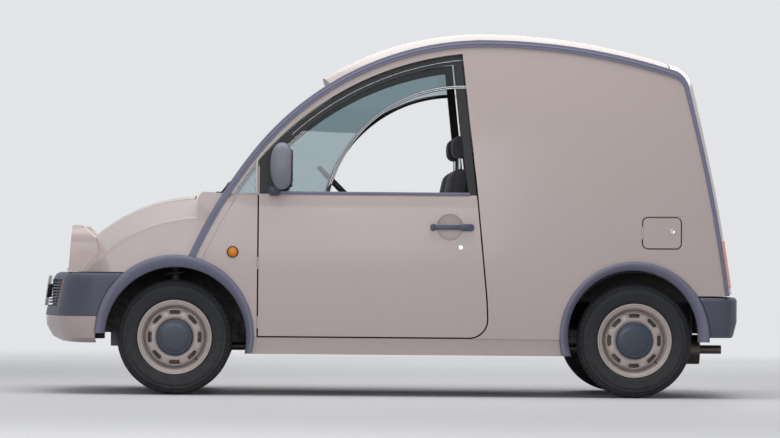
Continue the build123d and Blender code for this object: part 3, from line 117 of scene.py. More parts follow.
def toneGroup():
    # Colour that drifts softly over a surface, with road dust that thickens towards the ground
    group, given, made = newGroup(
        "toneAndDust",
        [("Vector", "Vector", None), ("Color", "Color", (1, 1, 1, 1)), ("Drift", "Float", 0.04),
         ("Dust Color", "Color", (0.3, 0.27, 0.24, 1)), ("Dust Top", "Float", 0.6), ("Dust", "Float", 0.2)],
        [("Color", "Color"), ("Dust Mask", "Float")],
    )
    drift = addNode(group, "ShaderNodeTexNoise", None, Vector=given.outputs["Vector"], Scale=2.2, Detail=3.0)
    low = addMath(group, "SUBTRACT", 1.0, given.outputs["Drift"])
    high = addMath(group, "ADD", 1.0, given.outputs["Drift"])
    spread = addNode(group, "ShaderNodeMapRange", None, Value=drift.outputs[0], i3=low, i4=high)
    toned = addNode(group, "ShaderNodeVectorMath", {"operation": "SCALE"}, i0=given.outputs["Color"],
                    Scale=spread.outputs[0])
    place = addNode(group, "ShaderNodeSeparateXYZ", None, i0=given.outputs["Vector"])
    fall = addNode(group, "ShaderNodeMapRange", {"interpolation_type": "SMOOTHSTEP"}, Value=place.outputs[2],
                   i1=given.outputs["Dust Top"], i2=0.1, i3=0.0, i4=1.0)
    speck = addNode(group, "ShaderNodeTexNoise", None, Vector=given.outputs["Vector"], Scale=38.0, Detail=5.0)
    patch = addNode(group, "ShaderNodeMapRange", None, Value=speck.outputs[0], i1=0.35, i2=0.7)
    dusty = addMath(group, "MULTIPLY", fall.outputs[0], patch.outputs[0])
    mask = addMath(group, "MULTIPLY", dusty, given.outputs["Dust"])
    mixed = addNode(group, "ShaderNodeMix", {"data_type": "RGBA"}, i0=mask, i6=toned.outputs[0],
                    i7=given.outputs["Dust Color"])
    group.links.new(mixed.outputs[2], made.inputs["Color"])
    group.links.new(mask, made.inputs["Dust Mask"])
    return group


def weaveGroup():
    # Over-and-under threads of a plain woven cloth
    group, given, made = newGroup(
        "clothWeave",
        [("Vector", "Vector", None), ("Threads", "Float", 300.0), ("Color", "Color", (1, 1, 1, 1)),
         ("Thread Color", "Color", (1, 1, 1, 1))],
        [("Color", "Color"), ("Height", "Float")],
    )
    waves = []
    for direction in ("X", "Z"):
        wave = addNode(group, "ShaderNodeTexWave", {"bands_direction": direction},
                       Vector=given.outputs["Vector"], Scale=given.outputs["Threads"], Distortion=0.6,
                       Detail=1.0)
        waves.append(wave.outputs["Fac"])
    height = addMath(group, "MULTIPLY", *waves)
    mixed = addNode(group, "ShaderNodeMix", {"data_type": "RGBA"}, i0=height,
                    i6=given.outputs["Color"], i7=given.outputs["Thread Color"])
    group.links.new(mixed.outputs[2], made.inputs["Color"])
    group.links.new(height, made.inputs["Height"])
    return group


surfaceGrain = grainGroup()
toneAndDust = toneGroup()
clothWeave = weaveGroup()

# What a finish has where its own line names no other value
plainFinish = {"coat": 0.0, "drift": 0.05, "dust": 0.0, "dustTop": 0.5}
# What a user would change about the finishes: colours are screen values from 0 to 255
finishes = {
    "bodyPaint": {"color": (188, 173, 170), "roughness": 0.4, "coat": 0.35, "grain": 900,
                  "bump": 0.015, "drift": 0.015, "dust": 0.1},
    # The roof's colour is the body paint made a little lighter: painted light from above on the roof
    "roofPaintWithPaintedLight": {"color": (188, 176, 171), "roughness": 0.5, "coat": 0.12, "grain": 900,
                  "bump": 0.015, "drift": 0.02},
    "greyMoulding": {"color": (112, 112, 132), "roughness": 0.5, "grain": 700, "bump": 0.08,
                     "drift": 0.04, "dust": 0.15, "dustTop": 0.6},
    "bumperPlastic": {"color": (72, 76, 92), "roughness": 0.55, "grain": 620, "bump": 0.12,
                      "dust": 0.2, "dustTop": 0.6},
    "blackPlastic": {"color": (34, 37, 46), "roughness": 0.5, "grain": 650, "bump": 0.1,
                     "drift": 0.06, "dust": 0.1},
    "mirrorPlastic": {"color": (122, 122, 136), "roughness": 0.45, "grain": 650, "bump": 0.05,
                      "drift": 0.04},
    "handlePlastic": {"color": (62, 70, 92), "roughness": 0.42, "coat": 0.1, "grain": 650,
                      "bump": 0.05, "drift": 0.04},
    "blackFrame": {"color": (13, 14, 18), "roughness": 0.55, "grain": 800, "bump": 0.03},
    # A paler, bluer copy of the moulding grey for the door belt strip and the moulding's bead: a painted
    # highlight on them
    "beltStripPaintedHighlight": {"color": (118, 122, 148), "roughness": 0.45, "grain": 700, "bump": 0.05, "drift": 0.04},
    "capPlastic": {"color": (42, 53, 70), "roughness": 0.42, "coat": 0.15, "grain": 700, "bump": 0.04,
                   "drift": 0.02, "dust": 0.04},
    "wheelPaint": {"color": (184, 172, 168), "roughness": 0.36, "coat": 0.3, "grain": 800,
                   "bump": 0.03, "drift": 0.03, "dust": 0.12, "dustTop": 0.6},
    "tyreRubber": {"color": (24, 26, 31), "roughness": 0.72, "grain": 420, "bump": 0.2, "drift": 0.04,
                   "dust": 0.08},
    "underbodyPaint": {"color": (30, 30, 32), "roughness": 0.8, "grain": 160, "bump": 0.3,
                       "drift": 0.15, "dust": 0.6, "dustTop": 0.7},
    "axleSteel": {"color": (42, 42, 44), "roughness": 0.6, "grain": 260, "bump": 0.2, "drift": 0.15,
                  "dust": 0.6, "dustTop": 0.8},
    "dashPlastic": {"color": (52, 52, 56), "roughness": 0.62, "grain": 480, "bump": 0.3},
    "trimBoard": {"color": (96, 94, 98), "roughness": 0.75, "grain": 420, "bump": 0.3},
    "floorMat": {"color": (48, 47, 50), "roughness": 0.9, "grain": 260, "bump": 0.6, "drift": 0.12,
                 "dust": 0.4, "dustTop": 0.8},
    "plateEnamel": {"color": (206, 206, 202), "roughness": 0.35, "coat": 0.3, "grain": 500,
                    "bump": 0.02, "drift": 0.02, "dust": 0.1, "dustTop": 0.6},
    "dialFace": {"color": (20, 21, 24), "roughness": 0.4, "coat": 0.2, "grain": 500, "bump": 0.02,
                 "drift": 0.02},
}
metals = {
    "brightMetal": {"color": (205, 205, 210), "roughness": 0.18, "grain": 300, "bump": 0.02},
    "reflectorMetal": {"color": (225, 227, 230), "roughness": 0.07, "grain": 60, "bump": 0.02},
    "exhaustSteel": {"color": (120, 112, 104), "roughness": 0.45, "grain": 220, "bump": 0.15},
    "castMetal": {"color": (122, 122, 126), "roughness": 0.6, "grain": 150, "bump": 0.35},
}
lenses = {
    "windowGlass": {"color": (176, 192, 196), "roughness": 0.0, "clear": 1.0, "shade": 0.75},
    "lampGlass": {"color": (240, 243, 246), "roughness": 0.03, "clear": 1.0, "shade": 0.9},
    "amberLens": {"color": (224, 132, 12), "roughness": 0.22, "clear": 0.0, "shade": 0.0},
    "orangeLens": {"color": (240, 112, 22), "roughness": 0.3, "clear": 0.0, "shade": 0.0},
}
clothColors = {"ground": (54, 54, 62), "thread": (92, 92, 102), "threads": 420.0}


def newMaterial(name):
    material = bpy.data.materials.new(name)
    material.use_nodes = True
    tree = material.node_tree
    shader = next(n for n in tree.nodes if n.type == "BSDF_PRINCIPLED")
    place = addNode(tree, "ShaderNodeTexCoord").outputs["Object"]
    return material, tree, shader, place


def grainInto(tree, shader, place, scale, strength, roughness, spread, distance=0.001):
    grain = addGroup(tree, surfaceGrain, Vector=place, Scale=float(scale), Spread=spread)
    rough = addMath(tree, "ADD", grain.outputs["Roughness Shift"], roughness)
    bump = addNode(tree, "ShaderNodeBump", None, Strength=strength, Distance=distance,
                   Height=grain.outputs["Height"])
    tree.links.new(rough, shader.inputs["Roughness"])
    tree.links.new(bump.outputs[0], shader.inputs["Normal"])


def solidFinish(name, look):
    material, tree, shader, place = newMaterial(name)
    tone = addGroup(tree, toneAndDust, Vector=place, Color=linear(*look["color"]), Drift=look["drift"],
                    Dust_Top=look["dustTop"], Dust=look["dust"], Dust_Color=linear(128, 120, 112))
    tree.links.new(tone.outputs["Color"], shader.inputs["Base Color"])
    grainInto(tree, shader, place, look["grain"], look["bump"], look["roughness"], 0.12)
    shader.inputs["Coat Weight"].default_value = look["coat"]
    shader.inputs["Coat Roughness"].default_value = 0.12
    return material


def metalFinish(name, look):
    material, tree, shader, place = newMaterial(name)
    tone = addGroup(tree, toneAndDust, Vector=place, Color=linear(*look["color"]), Drift=0.06, Dust=0.0)
    tree.links.new(tone.outputs["Color"], shader.inputs["Base Color"])
    grainInto(tree, shader, place, look["grain"], look["bump"], look["roughness"], 0.1)
    shader.inputs["Metallic"].default_value = 1.0
    return material


def lensFinish(name, look):
    # Clear or coloured glass; a share of the light goes straight through it to what is behind
    material, tree, shader, place = newMaterial(name)
    drift = addGroup(tree, toneAndDust, Vector=place, Color=linear(*look["color"]), Drift=0.03, Dust=0.0)
    tree.links.new(drift.outputs["Color"], shader.inputs["Base Color"])
    shader.inputs["Roughness"].default_value = look["roughness"]
    shader.inputs["Transmission Weight"].default_value = look["clear"]
    shader.inputs["IOR"].default_value = 1.45
    if look["shade"] > 0:
        out = next(n for n in tree.nodes if n.type == "OUTPUT_MATERIAL")
        through = addNode(tree, "ShaderNodeBsdfTransparent", None, Color=linear(*look["color"]))
        ray = addNode(tree, "ShaderNodeLightPath")
        share = addMath(tree, "MULTIPLY", ray.outputs["Is Shadow Ray"], look["shade"])
        mixed = addNode(tree, "ShaderNodeMixShader", None, i0=share, i1=shader.outputs[0],
                        i2=through.outputs[0])
        tree.links.new(mixed.outputs[0], out.inputs["Surface"])
    return material


def clothFinish():
    material, tree, shader, place = newMaterial("seatCloth")
    weave = addGroup(tree, clothWeave, Vector=place, Threads=clothColors["threads"],
                     Color=linear(*clothColors["ground"]), Thread_Color=linear(*clothColors["thread"]))
    bump = addNode(tree, "ShaderNodeBump", None, Strength=0.5, Distance=0.001, Height=weave.outputs["Height"])
    tree.links.new(weave.outputs["Color"], shader.inputs["Base Color"])
    tree.links.new(bump.outputs[0], shader.inputs["Normal"])
    shader.inputs["Roughness"].default_value = 0.85
    shader.inputs["Sheen Weight"].default_value = 0.3
    return material


looks = {name: solidFinish(name, {**plainFinish, **look}) for name, look in finishes.items()}
looks.update({name: metalFinish(name, look) for name, look in metals.items()})
looks.update({name: lensFinish(name, look) for name, look in lenses.items()})
looks["seatCloth"] = clothFinish()
print("materials made,", len(looks))

# Which finish each of the record's slots has
slotLook = {
    "body_paint": "bodyPaint", "roof_paint": "roofPaintWithPaintedLight", "grey_moulding": "greyMoulding",
    "bumper_plastic": "bumperPlastic", "window_glass": "windowGlass", "black_frame": "blackFrame",
    "black_plastic": "blackPlastic", "tyre_rubber": "tyreRubber", "wheel_paint": "wheelPaint",
    "amber_lens": "amberLens", "red_lens": "orangeLens", "lamp_glass": "lampGlass",
    "underbody_paint": "underbodyPaint", "engine_metal": "castMetal", "axle_steel": "axleSteel",
    "exhaust_steel": "exhaustSteel", "seat_fabric": "seatCloth", "dash_plastic": "dashPlastic",
}


# Mesh helpers

def clamped(value):
    return min(1.0, max(0.0, value))


def eased(value):
    # From 0 to 1 with a soft start and end
    value = clamped(value)
    return value * value * (3 - 2 * value)


def turnAbout(axis, angle):
    return Matrix.Rotation(radians(angle), 4, axis)


def gridFaces(bands, columns):
    # Faces between rows of points that close round their columns
    return [(band * columns + i, band * columns + (i + 1) % columns,
             (band + 1) * columns + (i + 1) % columns, (band + 1) * columns + i)
            for band in range(bands) for i in range(columns)]


def placePiece(name, mesh, look, body, replaced=()):
    piece = bpy.data.objects.new(name, mesh)
    bpy.context.scene.collection.objects.link(piece)
    piece.data.materials.clear()
    piece.data.materials.append(looks[look])
    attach(piece, body)
    if replaced:
        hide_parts(*replaced)
    return piece


def smoothByAngle(mesh, angle):
    made = bmesh.new()
    made.from_mesh(mesh)
    for face in made.faces:
        face.smooth = True
    for edge in made.edges:
        edge.smooth = len(edge.link_faces) == 2 and edge.calc_face_angle(pi) < radians(angle)
    made.to_mesh(mesh)
    made.free()


def meshFrom(name, points, faces, angle=40, merge=1e-5):
    mesh = bpy.data.meshes.new(name)
    mesh.from_pydata([tuple(p) for p in points], [], faces)
    made = bmesh.new()
    made.from_mesh(mesh)
    bmesh.ops.remove_doubles(made, verts=made.verts, dist=merge)
    bmesh.ops.recalc_face_normals(made, faces=made.faces)
    made.to_mesh(mesh)
    made.free()
    smoothByAngle(mesh, angle)
    return mesh


def addBevel(piece, width, segments=2, angle=35):
    bevel = piece.modifiers.new("edges", "BEVEL")
    bevel.width = width
    bevel.segments = segments
    bevel.limit_method = "ANGLE"
    bevel.angle_limit = radians(angle)
    bevel.harden_normals = False
    return bevel


def finishMesh(piece):
    # The modifiers' result as a plain mesh
    bpy.context.view_layer.update()
    graph = bpy.context.evaluated_depsgraph_get()
    mesh = bpy.data.meshes.new_from_object(piece.evaluated_get(graph))
    piece.modifiers.clear()
    piece.data = mesh
    return piece


def holderFor(mesh):
    # An object that carries a mesh while modifiers work on it
    holder = bpy.data.objects.new("holder", mesh)
    bpy.context.scene.collection.objects.link(holder)
    return holder


def meshOf(holder):
    # The holder's finished mesh; the holder itself goes
    result = finishMesh(holder).data
    bpy.data.objects.remove(holder)
    return result


def dressNode(node, look=None, edge=0.0016, angle=32, name=None):
    # A smooth, bevelled copy of a node's form, which then stands for the node
    mesh = nodes[node].data.copy()
    made = bmesh.new()
    made.from_mesh(mesh)
    bmesh.ops.remove_doubles(made, verts=made.verts, dist=2e-5)
    bmesh.ops.dissolve_degenerate(made, edges=made.edges, dist=2e-5)
    made.to_mesh(mesh)
    made.free()
    smoothByAngle(mesh, angle)
    if mesh.has_custom_normals:
        mesh.attributes.remove(mesh.attributes["custom_normal"])
    piece = placePiece(name or node + ".dressed", mesh, look or slotLook[slotOf[node]], bodyOf[node],
                       [node])
    if edge > 0:
        bevel = addBevel(piece, edge, 2, angle)
        bevel.use_clamp_overlap = True
    return piece


for node in nodes:
    nodes[node].data.materials.clear()
    nodes[node].data.materials.append(looks[slotLook[slotOf[node]]])
print("nodes given their finishes")

# Camera at the photograph's viewing angle

camera = {
    "place": (0.58, 24.6, 0.66),
    "target": (0.021, 0.79, 0.871),
    "roll": 0.484,
    "lens": 224.2,
}
eye = bpy.data.objects.new("camera", bpy.data.cameras.new("camera"))
bpy.context.scene.collection.objects.link(eye)
eye.data.lens = camera["lens"]
eye.data.sensor_width = 36
eye.data.clip_end = 200
view = Vector(camera["target"]) - Vector(camera["place"])
eye.matrix_world = (
    Matrix.Translation(camera["place"])
    @ view.to_track_quat("-Z", "Y").to_matrix().to_4x4()
    @ turnAbout("Z", camera["roll"])
)
bpy.context.scene.camera = eye

# Pale floor that fades into the backdrop, and soft studio light

studio = {
    "floor": (214, 214, 218),
    "backdrop": 0.80,
    "floorRadius": 30.0,
    "fadeStart": 3.0,
    "fadeEnd": 12.0,
    "world": 0.28,
    "worldTint": (0.96, 0.975, 1.0, 1),
    "aim": (0, 0, 0.8),
    "lamps": {
        "topLight": {"place": (0.2, 1.0, 5.2), "size": (6.5, 3.5), "power": 195},
        "frontLight": {"place": (1.5, 8.5, 2.6), "size": (5.0, 2.5), "power": 145},
        "backLight": {"place": (-1.5, -8.0, 3.5), "size": (5.0, 2.5), "power": 100},
    },
}


def floorFinish():
    material, tree, shader, place = newMaterial("floorPaper")
    tone = addGroup(tree, toneAndDust, Vector=place, Color=linear(*studio["floor"]), Drift=0.01, Dust=0.0)
    tree.links.new(tone.outputs["Color"], shader.inputs["Base Color"])
    shader.inputs["Roughness"].default_value = 0.7
    reach = addNode(tree, "ShaderNodeVectorMath", {"operation": "LENGTH"}, i0=place)
    fade = addNode(tree, "ShaderNodeMapRange", {"interpolation_type": "SMOOTHSTEP"},
                   Value=reach.outputs["Value"], i1=studio["fadeStart"], i2=studio["fadeEnd"])
    clear = addNode(tree, "ShaderNodeBsdfTransparent")
    mixed = addNode(tree, "ShaderNodeMixShader", None, i0=fade.outputs[0], i1=shader.outputs[0],
                    i2=clear.outputs[0])
    out = next(n for n in tree.nodes if n.type == "OUTPUT_MATERIAL")
    tree.links.new(mixed.outputs[0], out.inputs["Surface"])
    return material


floorMesh = bpy.data.meshes.new("floor")
made = bmesh.new()
bmesh.ops.create_circle(made, cap_ends=True, segments=96, radius=studio["floorRadius"])
made.to_mesh(floorMesh)
made.free()
floor = bpy.data.objects.new("floor", floorMesh)
bpy.context.scene.collection.objects.link(floor)
floor.data.materials.append(floorFinish())

world = bpy.data.worlds.new("studio")
bpy.context.scene.world = world
world.use_nodes = True
worldTree = world.node_tree
background = next(n for n in worldTree.nodes if n.type == "BACKGROUND")
ray = addNode(worldTree, "ShaderNodeLightPath")
# The backdrop's strength is what the camera, glass and metal see; all else is lit by the plain world
direct = addMath(worldTree, "MAXIMUM", ray.outputs["Is Camera Ray"], ray.outputs["Is Transmission Ray"])
seen = addMath(worldTree, "MAXIMUM", direct, ray.outputs["Is Glossy Ray"])
strength = addNode(worldTree, "ShaderNodeMapRange", None, Value=seen, i3=studio["world"],
                   i4=studio["backdrop"])
background.inputs["Color"].default_value = studio["worldTint"]
worldTree.links.new(strength.outputs[0], background.inputs["Strength"])


def softLight(name, lamp):
    data = bpy.data.lights.new(name, "AREA")
    data.shape = "RECTANGLE"
    data.size, data.size_y = lamp["size"]
    data.energy = lamp["power"]
    source = bpy.data.objects.new(name, data)
    bpy.context.scene.collection.objects.link(source)
    source.location = lamp["place"]
    source.rotation_euler = (Vector(studio["aim"]) - source.location).to_track_quat("-Z", "Y").to_euler()


for name, lamp in studio["lamps"].items():
    softLight(name, lamp)
bpy.context.scene.view_settings.view_transform = "Standard"
print("camera, floor and lights placed")

# Helpers for the pieces that Blender adds


def addPiece(name, mesh, look, body="root", replaced=()):
    return placePiece(name, mesh, look, body, replaced)


def mirrored(mesh):
    # The same mesh on the van's other side
    other = mesh.copy()
    other.transform(Matrix.Scale(-1, 4, (0, 1, 0)))
    other.flip_normals()
    return other


def onBothSides(name, mesh, look, bodies=("root", "root"), replaced=((), ())):
    addPiece(name + ".left", mesh, look, bodies[0], replaced[0])
    addPiece(name + ".right", mirrored(mesh), look, bodies[1], replaced[1])


def spinMesh(name, profile, place, steps=48, angle=35, closed=False):
    # A profile of (radius, height) about the local z axis, then put in its place
    points = []
    faces = []
    rows = len(profile)
    for step in range(steps):
        turn = tau * step / steps
        for radius, height in profile:
            points.append((radius * cos(turn), radius * sin(turn), height))
    for step in range(steps):
        following = (step + 1) % steps
        for row in range(rows if closed else rows - 1):
            nextRow = (row + 1) % rows
            faces.append((step * rows + row, following * rows + row, following * rows + nextRow,
                          step * rows + nextRow))
    mesh = meshFrom(name, points, faces, angle)
    mesh.transform(place)
    return mesh


def prismMesh(name, outline, low, high, place=None, angle=35):
    # An outline of (a, b) made into a solid from one depth to another: local x, z and then y
    count = len(outline)
    points = [(a, low, b) for a, b in outline] + [(a, high, b) for a, b in outline]
    faces = [tuple(range(count)), tuple(range(2 * count - 1, count - 1, -1))]
    for i in range(count):
        j = (i + 1) % count
        faces.append((i, j, count + j, count + i))
    mesh = meshFrom(name, points, faces, angle)
    if place is not None:
        mesh.transform(place)
    return mesh


def roundedOutline(centre, size, radius, steps=6):
    # A rounded rectangle as a list of (a, b)
    points = []
    for turn, (sa, sb) in enumerate(((1, 1), (-1, 1), (-1, -1), (1, -1))):
        for step in range(steps + 1):
            angle = pi / 2 * (turn + step / steps)
            points.append((centre[0] + sa * (size[0] / 2 - radius) + radius * cos(angle),
                           centre[1] + sb * (size[1] / 2 - radius) + radius * sin(angle)))
    return points


def bevelled(mesh, width, segments=3, angle=40):
    # The mesh with its edges rounded
    holder = holderFor(mesh)
    addBevel(holder, width, segments, angle)
    result = meshOf(holder)
    smoothByAngle(result, angle)
    return result


def blockMesh(name, low, high, radius, segments=3):
    # A rounded block between two corners
    (x0, y0, z0), (x1, y1, z1) = low, high
    mesh = prismMesh(name, [(x0, z0), (x1, z0), (x1, z1), (x0, z1)], y0, y1)
    return bevelled(mesh, radius, segments)


def plateMesh(name, centre, size, corner, low, high, edge=0.0, place=None):
    # A plate with rounded corners, and with rounded edges where edge isn't 0
    mesh = prismMesh(name, roundedOutline(centre, size, corner), low, high, place)
    return bevelled(mesh, edge) if edge else mesh


def joined(name, *meshes):
    # Several meshes as one
    made = bmesh.new()
    for mesh in meshes:
        made.from_mesh(mesh)
    result = bpy.data.meshes.new(name)
    made.to_mesh(result)
    made.free()
    return result


def surfaceOf(mesh):
    # A mesh's faces, to be looked up by ray or by nearest point
    return BVHTree.FromPolygons([v.co.copy() for v in mesh.vertices],
                                [tuple(face.vertices) for face in mesh.polygons])


def geometryTree(name, inputs):
    tree = bpy.data.node_groups.new(name, "GeometryNodeTree")
    tree.interface.new_socket(name="Geometry", in_out="INPUT", socket_type="NodeSocketGeometry")
    for label, kind in inputs:
        tree.interface.new_socket(name=label, in_out="INPUT", socket_type="NodeSocket" + kind)
    tree.interface.new_socket(name="Material", in_out="INPUT", socket_type="NodeSocketMaterial")
    tree.interface.new_socket(name="Geometry", in_out="OUTPUT", socket_type="NodeSocketGeometry")
    return tree, tree.nodes.new("NodeGroupInput").outputs, tree.nodes.new("NodeGroupOutput").inputs


def realAndPainted(tree, last, given, made):
    # Ends a tree: real meshes with the material that was given
    real = addNode(tree, "GeometryNodeRealizeInstances", None, Geometry=last.outputs[0])
    painted = addNode(tree, "GeometryNodeSetMaterial", None, Geometry=real.outputs[0],
                      Material=given["Material"])
    tree.links.new(painted.outputs[0], made["Geometry"])


def repeatTree():
    # Copies of the piece, each moved and turned on from the one before
    tree, given, made = geometryTree("repeatPiece",
                                     [("Count", "Int"), ("Offset", "Vector"), ("Turn", "Vector")])
    line = addNode(tree, "GeometryNodeMeshLine", {"mode": "OFFSET"}, Count=given["Count"],
                   Offset=given["Offset"])
    index = addNode(tree, "GeometryNodeInputIndex")
    turned = addNode(tree, "ShaderNodeVectorMath", {"operation": "SCALE"}, i0=given["Turn"],
                     Scale=index.outputs[0])
    copies = addNode(tree, "GeometryNodeInstanceOnPoints", None, Points=line.outputs[0],
                     Instance=given["Geometry"], Rotation=turned.outputs[0])
    realAndPainted(tree, copies, given, made)
    return tree


def tubeTree():
    # A round tube along the piece's edges
    tree, given, made = geometryTree("tubeAlongPath", [("Radius", "Float"), ("Resolution", "Int")])
    path = addNode(tree, "GeometryNodeMeshToCurve", None, Mesh=given["Geometry"])
    ring = addNode(tree, "GeometryNodeCurvePrimitiveCircle", None, Resolution=given["Resolution"],
                   Radius=given["Radius"])
    tube = addNode(tree, "GeometryNodeCurveToMesh", None, Curve=path.outputs[0],
                   Profile_Curve=ring.outputs[0], Fill_Caps=True)
    smooth = addNode(tree, "GeometryNodeSetShadeSmooth", None, Geometry=tube.outputs[0])
    realAndPainted(tree, smooth, given, made)
    return tree


repeatPiece = repeatTree()
tubeAlongPath = tubeTree()


def nodesMesh(mesh, tree, look, **values):
    # The mesh after a geometry node tree, as a plain mesh
    holder = holderFor(mesh)
    modifier = holder.modifiers.new("nodes", "NODES")
    modifier.node_group = tree
    keys = {item.name: item.identifier for item in tree.interface.items_tree if item.in_out == "INPUT"}
    modifier[keys["Material"]] = looks[look]
    for label, value in values.items():
        modifier[keys[label]] = value
    return meshOf(holder)


def repeatMesh(mesh, look, count, offset=(0, 0, 0), turn=(0, 0, 0)):
    return nodesMesh(mesh, repeatPiece, look, Count=count, Offset=list(offset), Turn=list(turn))


def tubeMesh(points, radius, look, closed=False, resolution=8):
    mesh = bpy.data.meshes.new("path")
    edges = [(i, i + 1) for i in range(len(points) - 1)]
    if closed:
        edges.append((len(points) - 1, 0))
    mesh.from_pydata([tuple(p) for p in points], edges, [])
    return nodesMesh(mesh, tubeAlongPath, look, Radius=radius, Resolution=resolution)


def partMesh(node, keep, name):
    # The faces of a node's copy whose centres pass a test
    mesh = nodes[node].data.copy()
    mesh.name = name
    made = bmesh.new()
    made.from_mesh(mesh)
    bmesh.ops.remove_doubles(made, verts=made.verts, dist=2e-5)
    bmesh.ops.delete(made, geom=[f for f in made.faces if not keep(f.calc_center_median())], context="FACES")
    made.to_mesh(mesh)
    made.free()
    smoothByAngle(mesh, 32)
    return mesh


# The skin of the van's side: its distance from the centre plane at a height
skin = {"halfWidth": 0.778, "widest": 0.450, "tumble": 5.9}


def skinY(z):
    return skin["halfWidth"] - skin["tumble"] + sqrt(skin["tumble"] ** 2 - (z - skin["widest"]) ** 2)


# Side line of the roof: arcs from the crest, each with its radius and the heading at its end
sideLine = {
    "crest": (-0.455, 1.726),
    "front": ((1.427, 51.9), (2.454, 66.2)),
    "rear": ((3.040, -17.72), (0.075, -75.6), (9.0, -80.8)),
}


def sidePath(arcs, grow, step=1.2):
    # Points (x, z) along the arcs from the crest, moved outwards
    radius = arcs[0][0]
    centre = Vector((sideLine["crest"][0], sideLine["crest"][1] - radius))
    heading = 0.0
    path = []
    for nextRadius, nextHeading in arcs:
        turn = radians(heading)
        centre = centre + (radius - nextRadius) * Vector((sin(turn), cos(turn)))
        count = max(2, int(abs(nextHeading - heading) / step))
        for i in range(count + 1):
            turn = radians(heading + (nextHeading - heading) * i / count)
            point = centre + (nextRadius + grow) * Vector((sin(turn), cos(turn)))
            if not path or (point - path[-1]).length > 1e-4:
                path.append(point)
        radius, heading = nextRadius, nextHeading
    return path


# Panels, trims and metalwork: smooth copies of the nodes with rounded edges

for node in ("side_left", "side_right", "roof", "front_wings", "bonnet", "tailgate", "fuel_flap",
             "front_valance", "door_left", "door_right"):
    dressNode(node, edge=0.002)
for node in ("body_mouldings", "front_bumper"):
    dressNode(node, edge=0.003)
rearBumper = dressNode("rear_bumper", edge=0.003)
rearCorner = {"startY": 0.28, "fullY": 0.66, "startX": -1.640, "fade": 0.06, "draw": 0.026}
for vertex in rearBumper.data.vertices:
    # The bumper's ends sweep forward a little, as the photograph shows
    outward = (abs(vertex.co.y) - rearCorner["startY"]) / (rearCorner["fullY"] - rearCorner["startY"])
    backward = clamped((rearCorner["startX"] - vertex.co.x) / rearCorner["fade"])
    vertex.co.x += rearCorner["draw"] * eased(outward) * backward
for node in ("door_left_frame", "door_right_frame", "windscreen", "tailgate_glass", "quarter_panes",
             "door_left_glass", "door_right_glass"):
    dressNode(node, edge=0.0008)
for node in ("bulkhead", "floor_pan", "front_subframe", "rear_axle", "engine", "fuel_tank", "exhaust",
             "knuckle_left", "knuckle_right", "dashboard", "cowl"):
    dressNode(node, edge=0.002)
print("panels dressed")

# Wheel arch mouldings: a rounded band between two circles with different centres
archBand = {
    "front": {"axle": 1.0725, "outer": (0.0015, 0.298, 0.390), "inner": (-0.0045, 0.280, 0.347),
              "feet": (0.300, 0.205)},
    "rear": {"axle": -1.1875, "outer": (0.0015, 0.301, 0.370), "inner": (0.0085, 0.308, 0.320),
             "feet": (0.205, 0.278)},
    # From the body side over the crown to the inner edge: share of the width, distance from the centre plane
    "section": ((0.0, 0.7360), (0.0, 0.7770), (0.02, 0.7850), (0.09, 0.7925), (0.2, 0.7965), (0.32, 0.7972),
                (0.46, 0.7950), (0.6, 0.7895), (0.74, 0.7815), (0.88, 0.7730), (0.97, 0.7660), (1.0, 0.7590),
                (1.0, 0.7360)),
}


def archMesh(end):
    band = archBand[end]
    rows = []
    (dxo, zo, ro), (dxi, zi, ri) = band["outer"], band["inner"]
    outerStart, outerEnd = (asin((foot - zo) / ro) for foot in band["feet"])
    innerStart, innerEnd = (asin((foot - zi) / ri) for foot in band["feet"])
    steps = 72
    for step in range(steps + 1):
        share = step / steps
        outerTurn = outerStart + (pi - outerEnd - outerStart) * share
        innerTurn = innerStart + (pi - innerEnd - innerStart) * share
        outer = Vector((band["axle"] + dxo + ro * cos(outerTurn), zo + ro * sin(outerTurn)))
        inner = Vector((band["axle"] + dxi + ri * cos(innerTurn), zi + ri * sin(innerTurn)))
        rows.append([(*(outer.lerp(inner, part)), y) for part, y in archBand["section"]])
    points = [(x, y, z) for row in rows for x, z, y in row]
    count = len(archBand["section"])
    faces = gridFaces(steps, count)
    faces.append(tuple(range(count)))
    faces.append(tuple(steps * count + i for i in range(count - 1, -1, -1)))
    return meshFrom("arch." + end, points, faces, 50)


archFaces = joined("archFaces", archMesh("front"), archMesh("rear"))
onBothSides("archMoulding", archFaces, "greyMoulding", replaced=(["arch_mouldings"], []))

# A bead along the middle of the body moulding; its paler trim grey is a painted highlight along its crest
bead = {"grow": 0.017, "tailGrow": 0.011, "tailX": -1.35, "fade": 0.08, "radius": 0.0042, "proud": 0.0085}


def beadPath():
    front = [(p.x, skinY(p.y) + bead["proud"], p.y)
             for p in reversed(sidePath(sideLine["front"], bead["grow"]))]
    rear = []
    for p in sidePath(sideLine["rear"], bead["grow"]):
        inwards = clamped((bead["tailX"] - p.x) / bead["fade"]) * (bead["grow"] - bead["tailGrow"])
        rear.append((p.x + inwards, skinY(p.y) + bead["proud"], p.y))
    return front[:-1] + rear


onBothSides("mouldingBead", tubeMesh(beadPath(), bead["radius"], "beltStripPaintedHighlight"), "beltStripPaintedHighlight")
print("mouldings made")

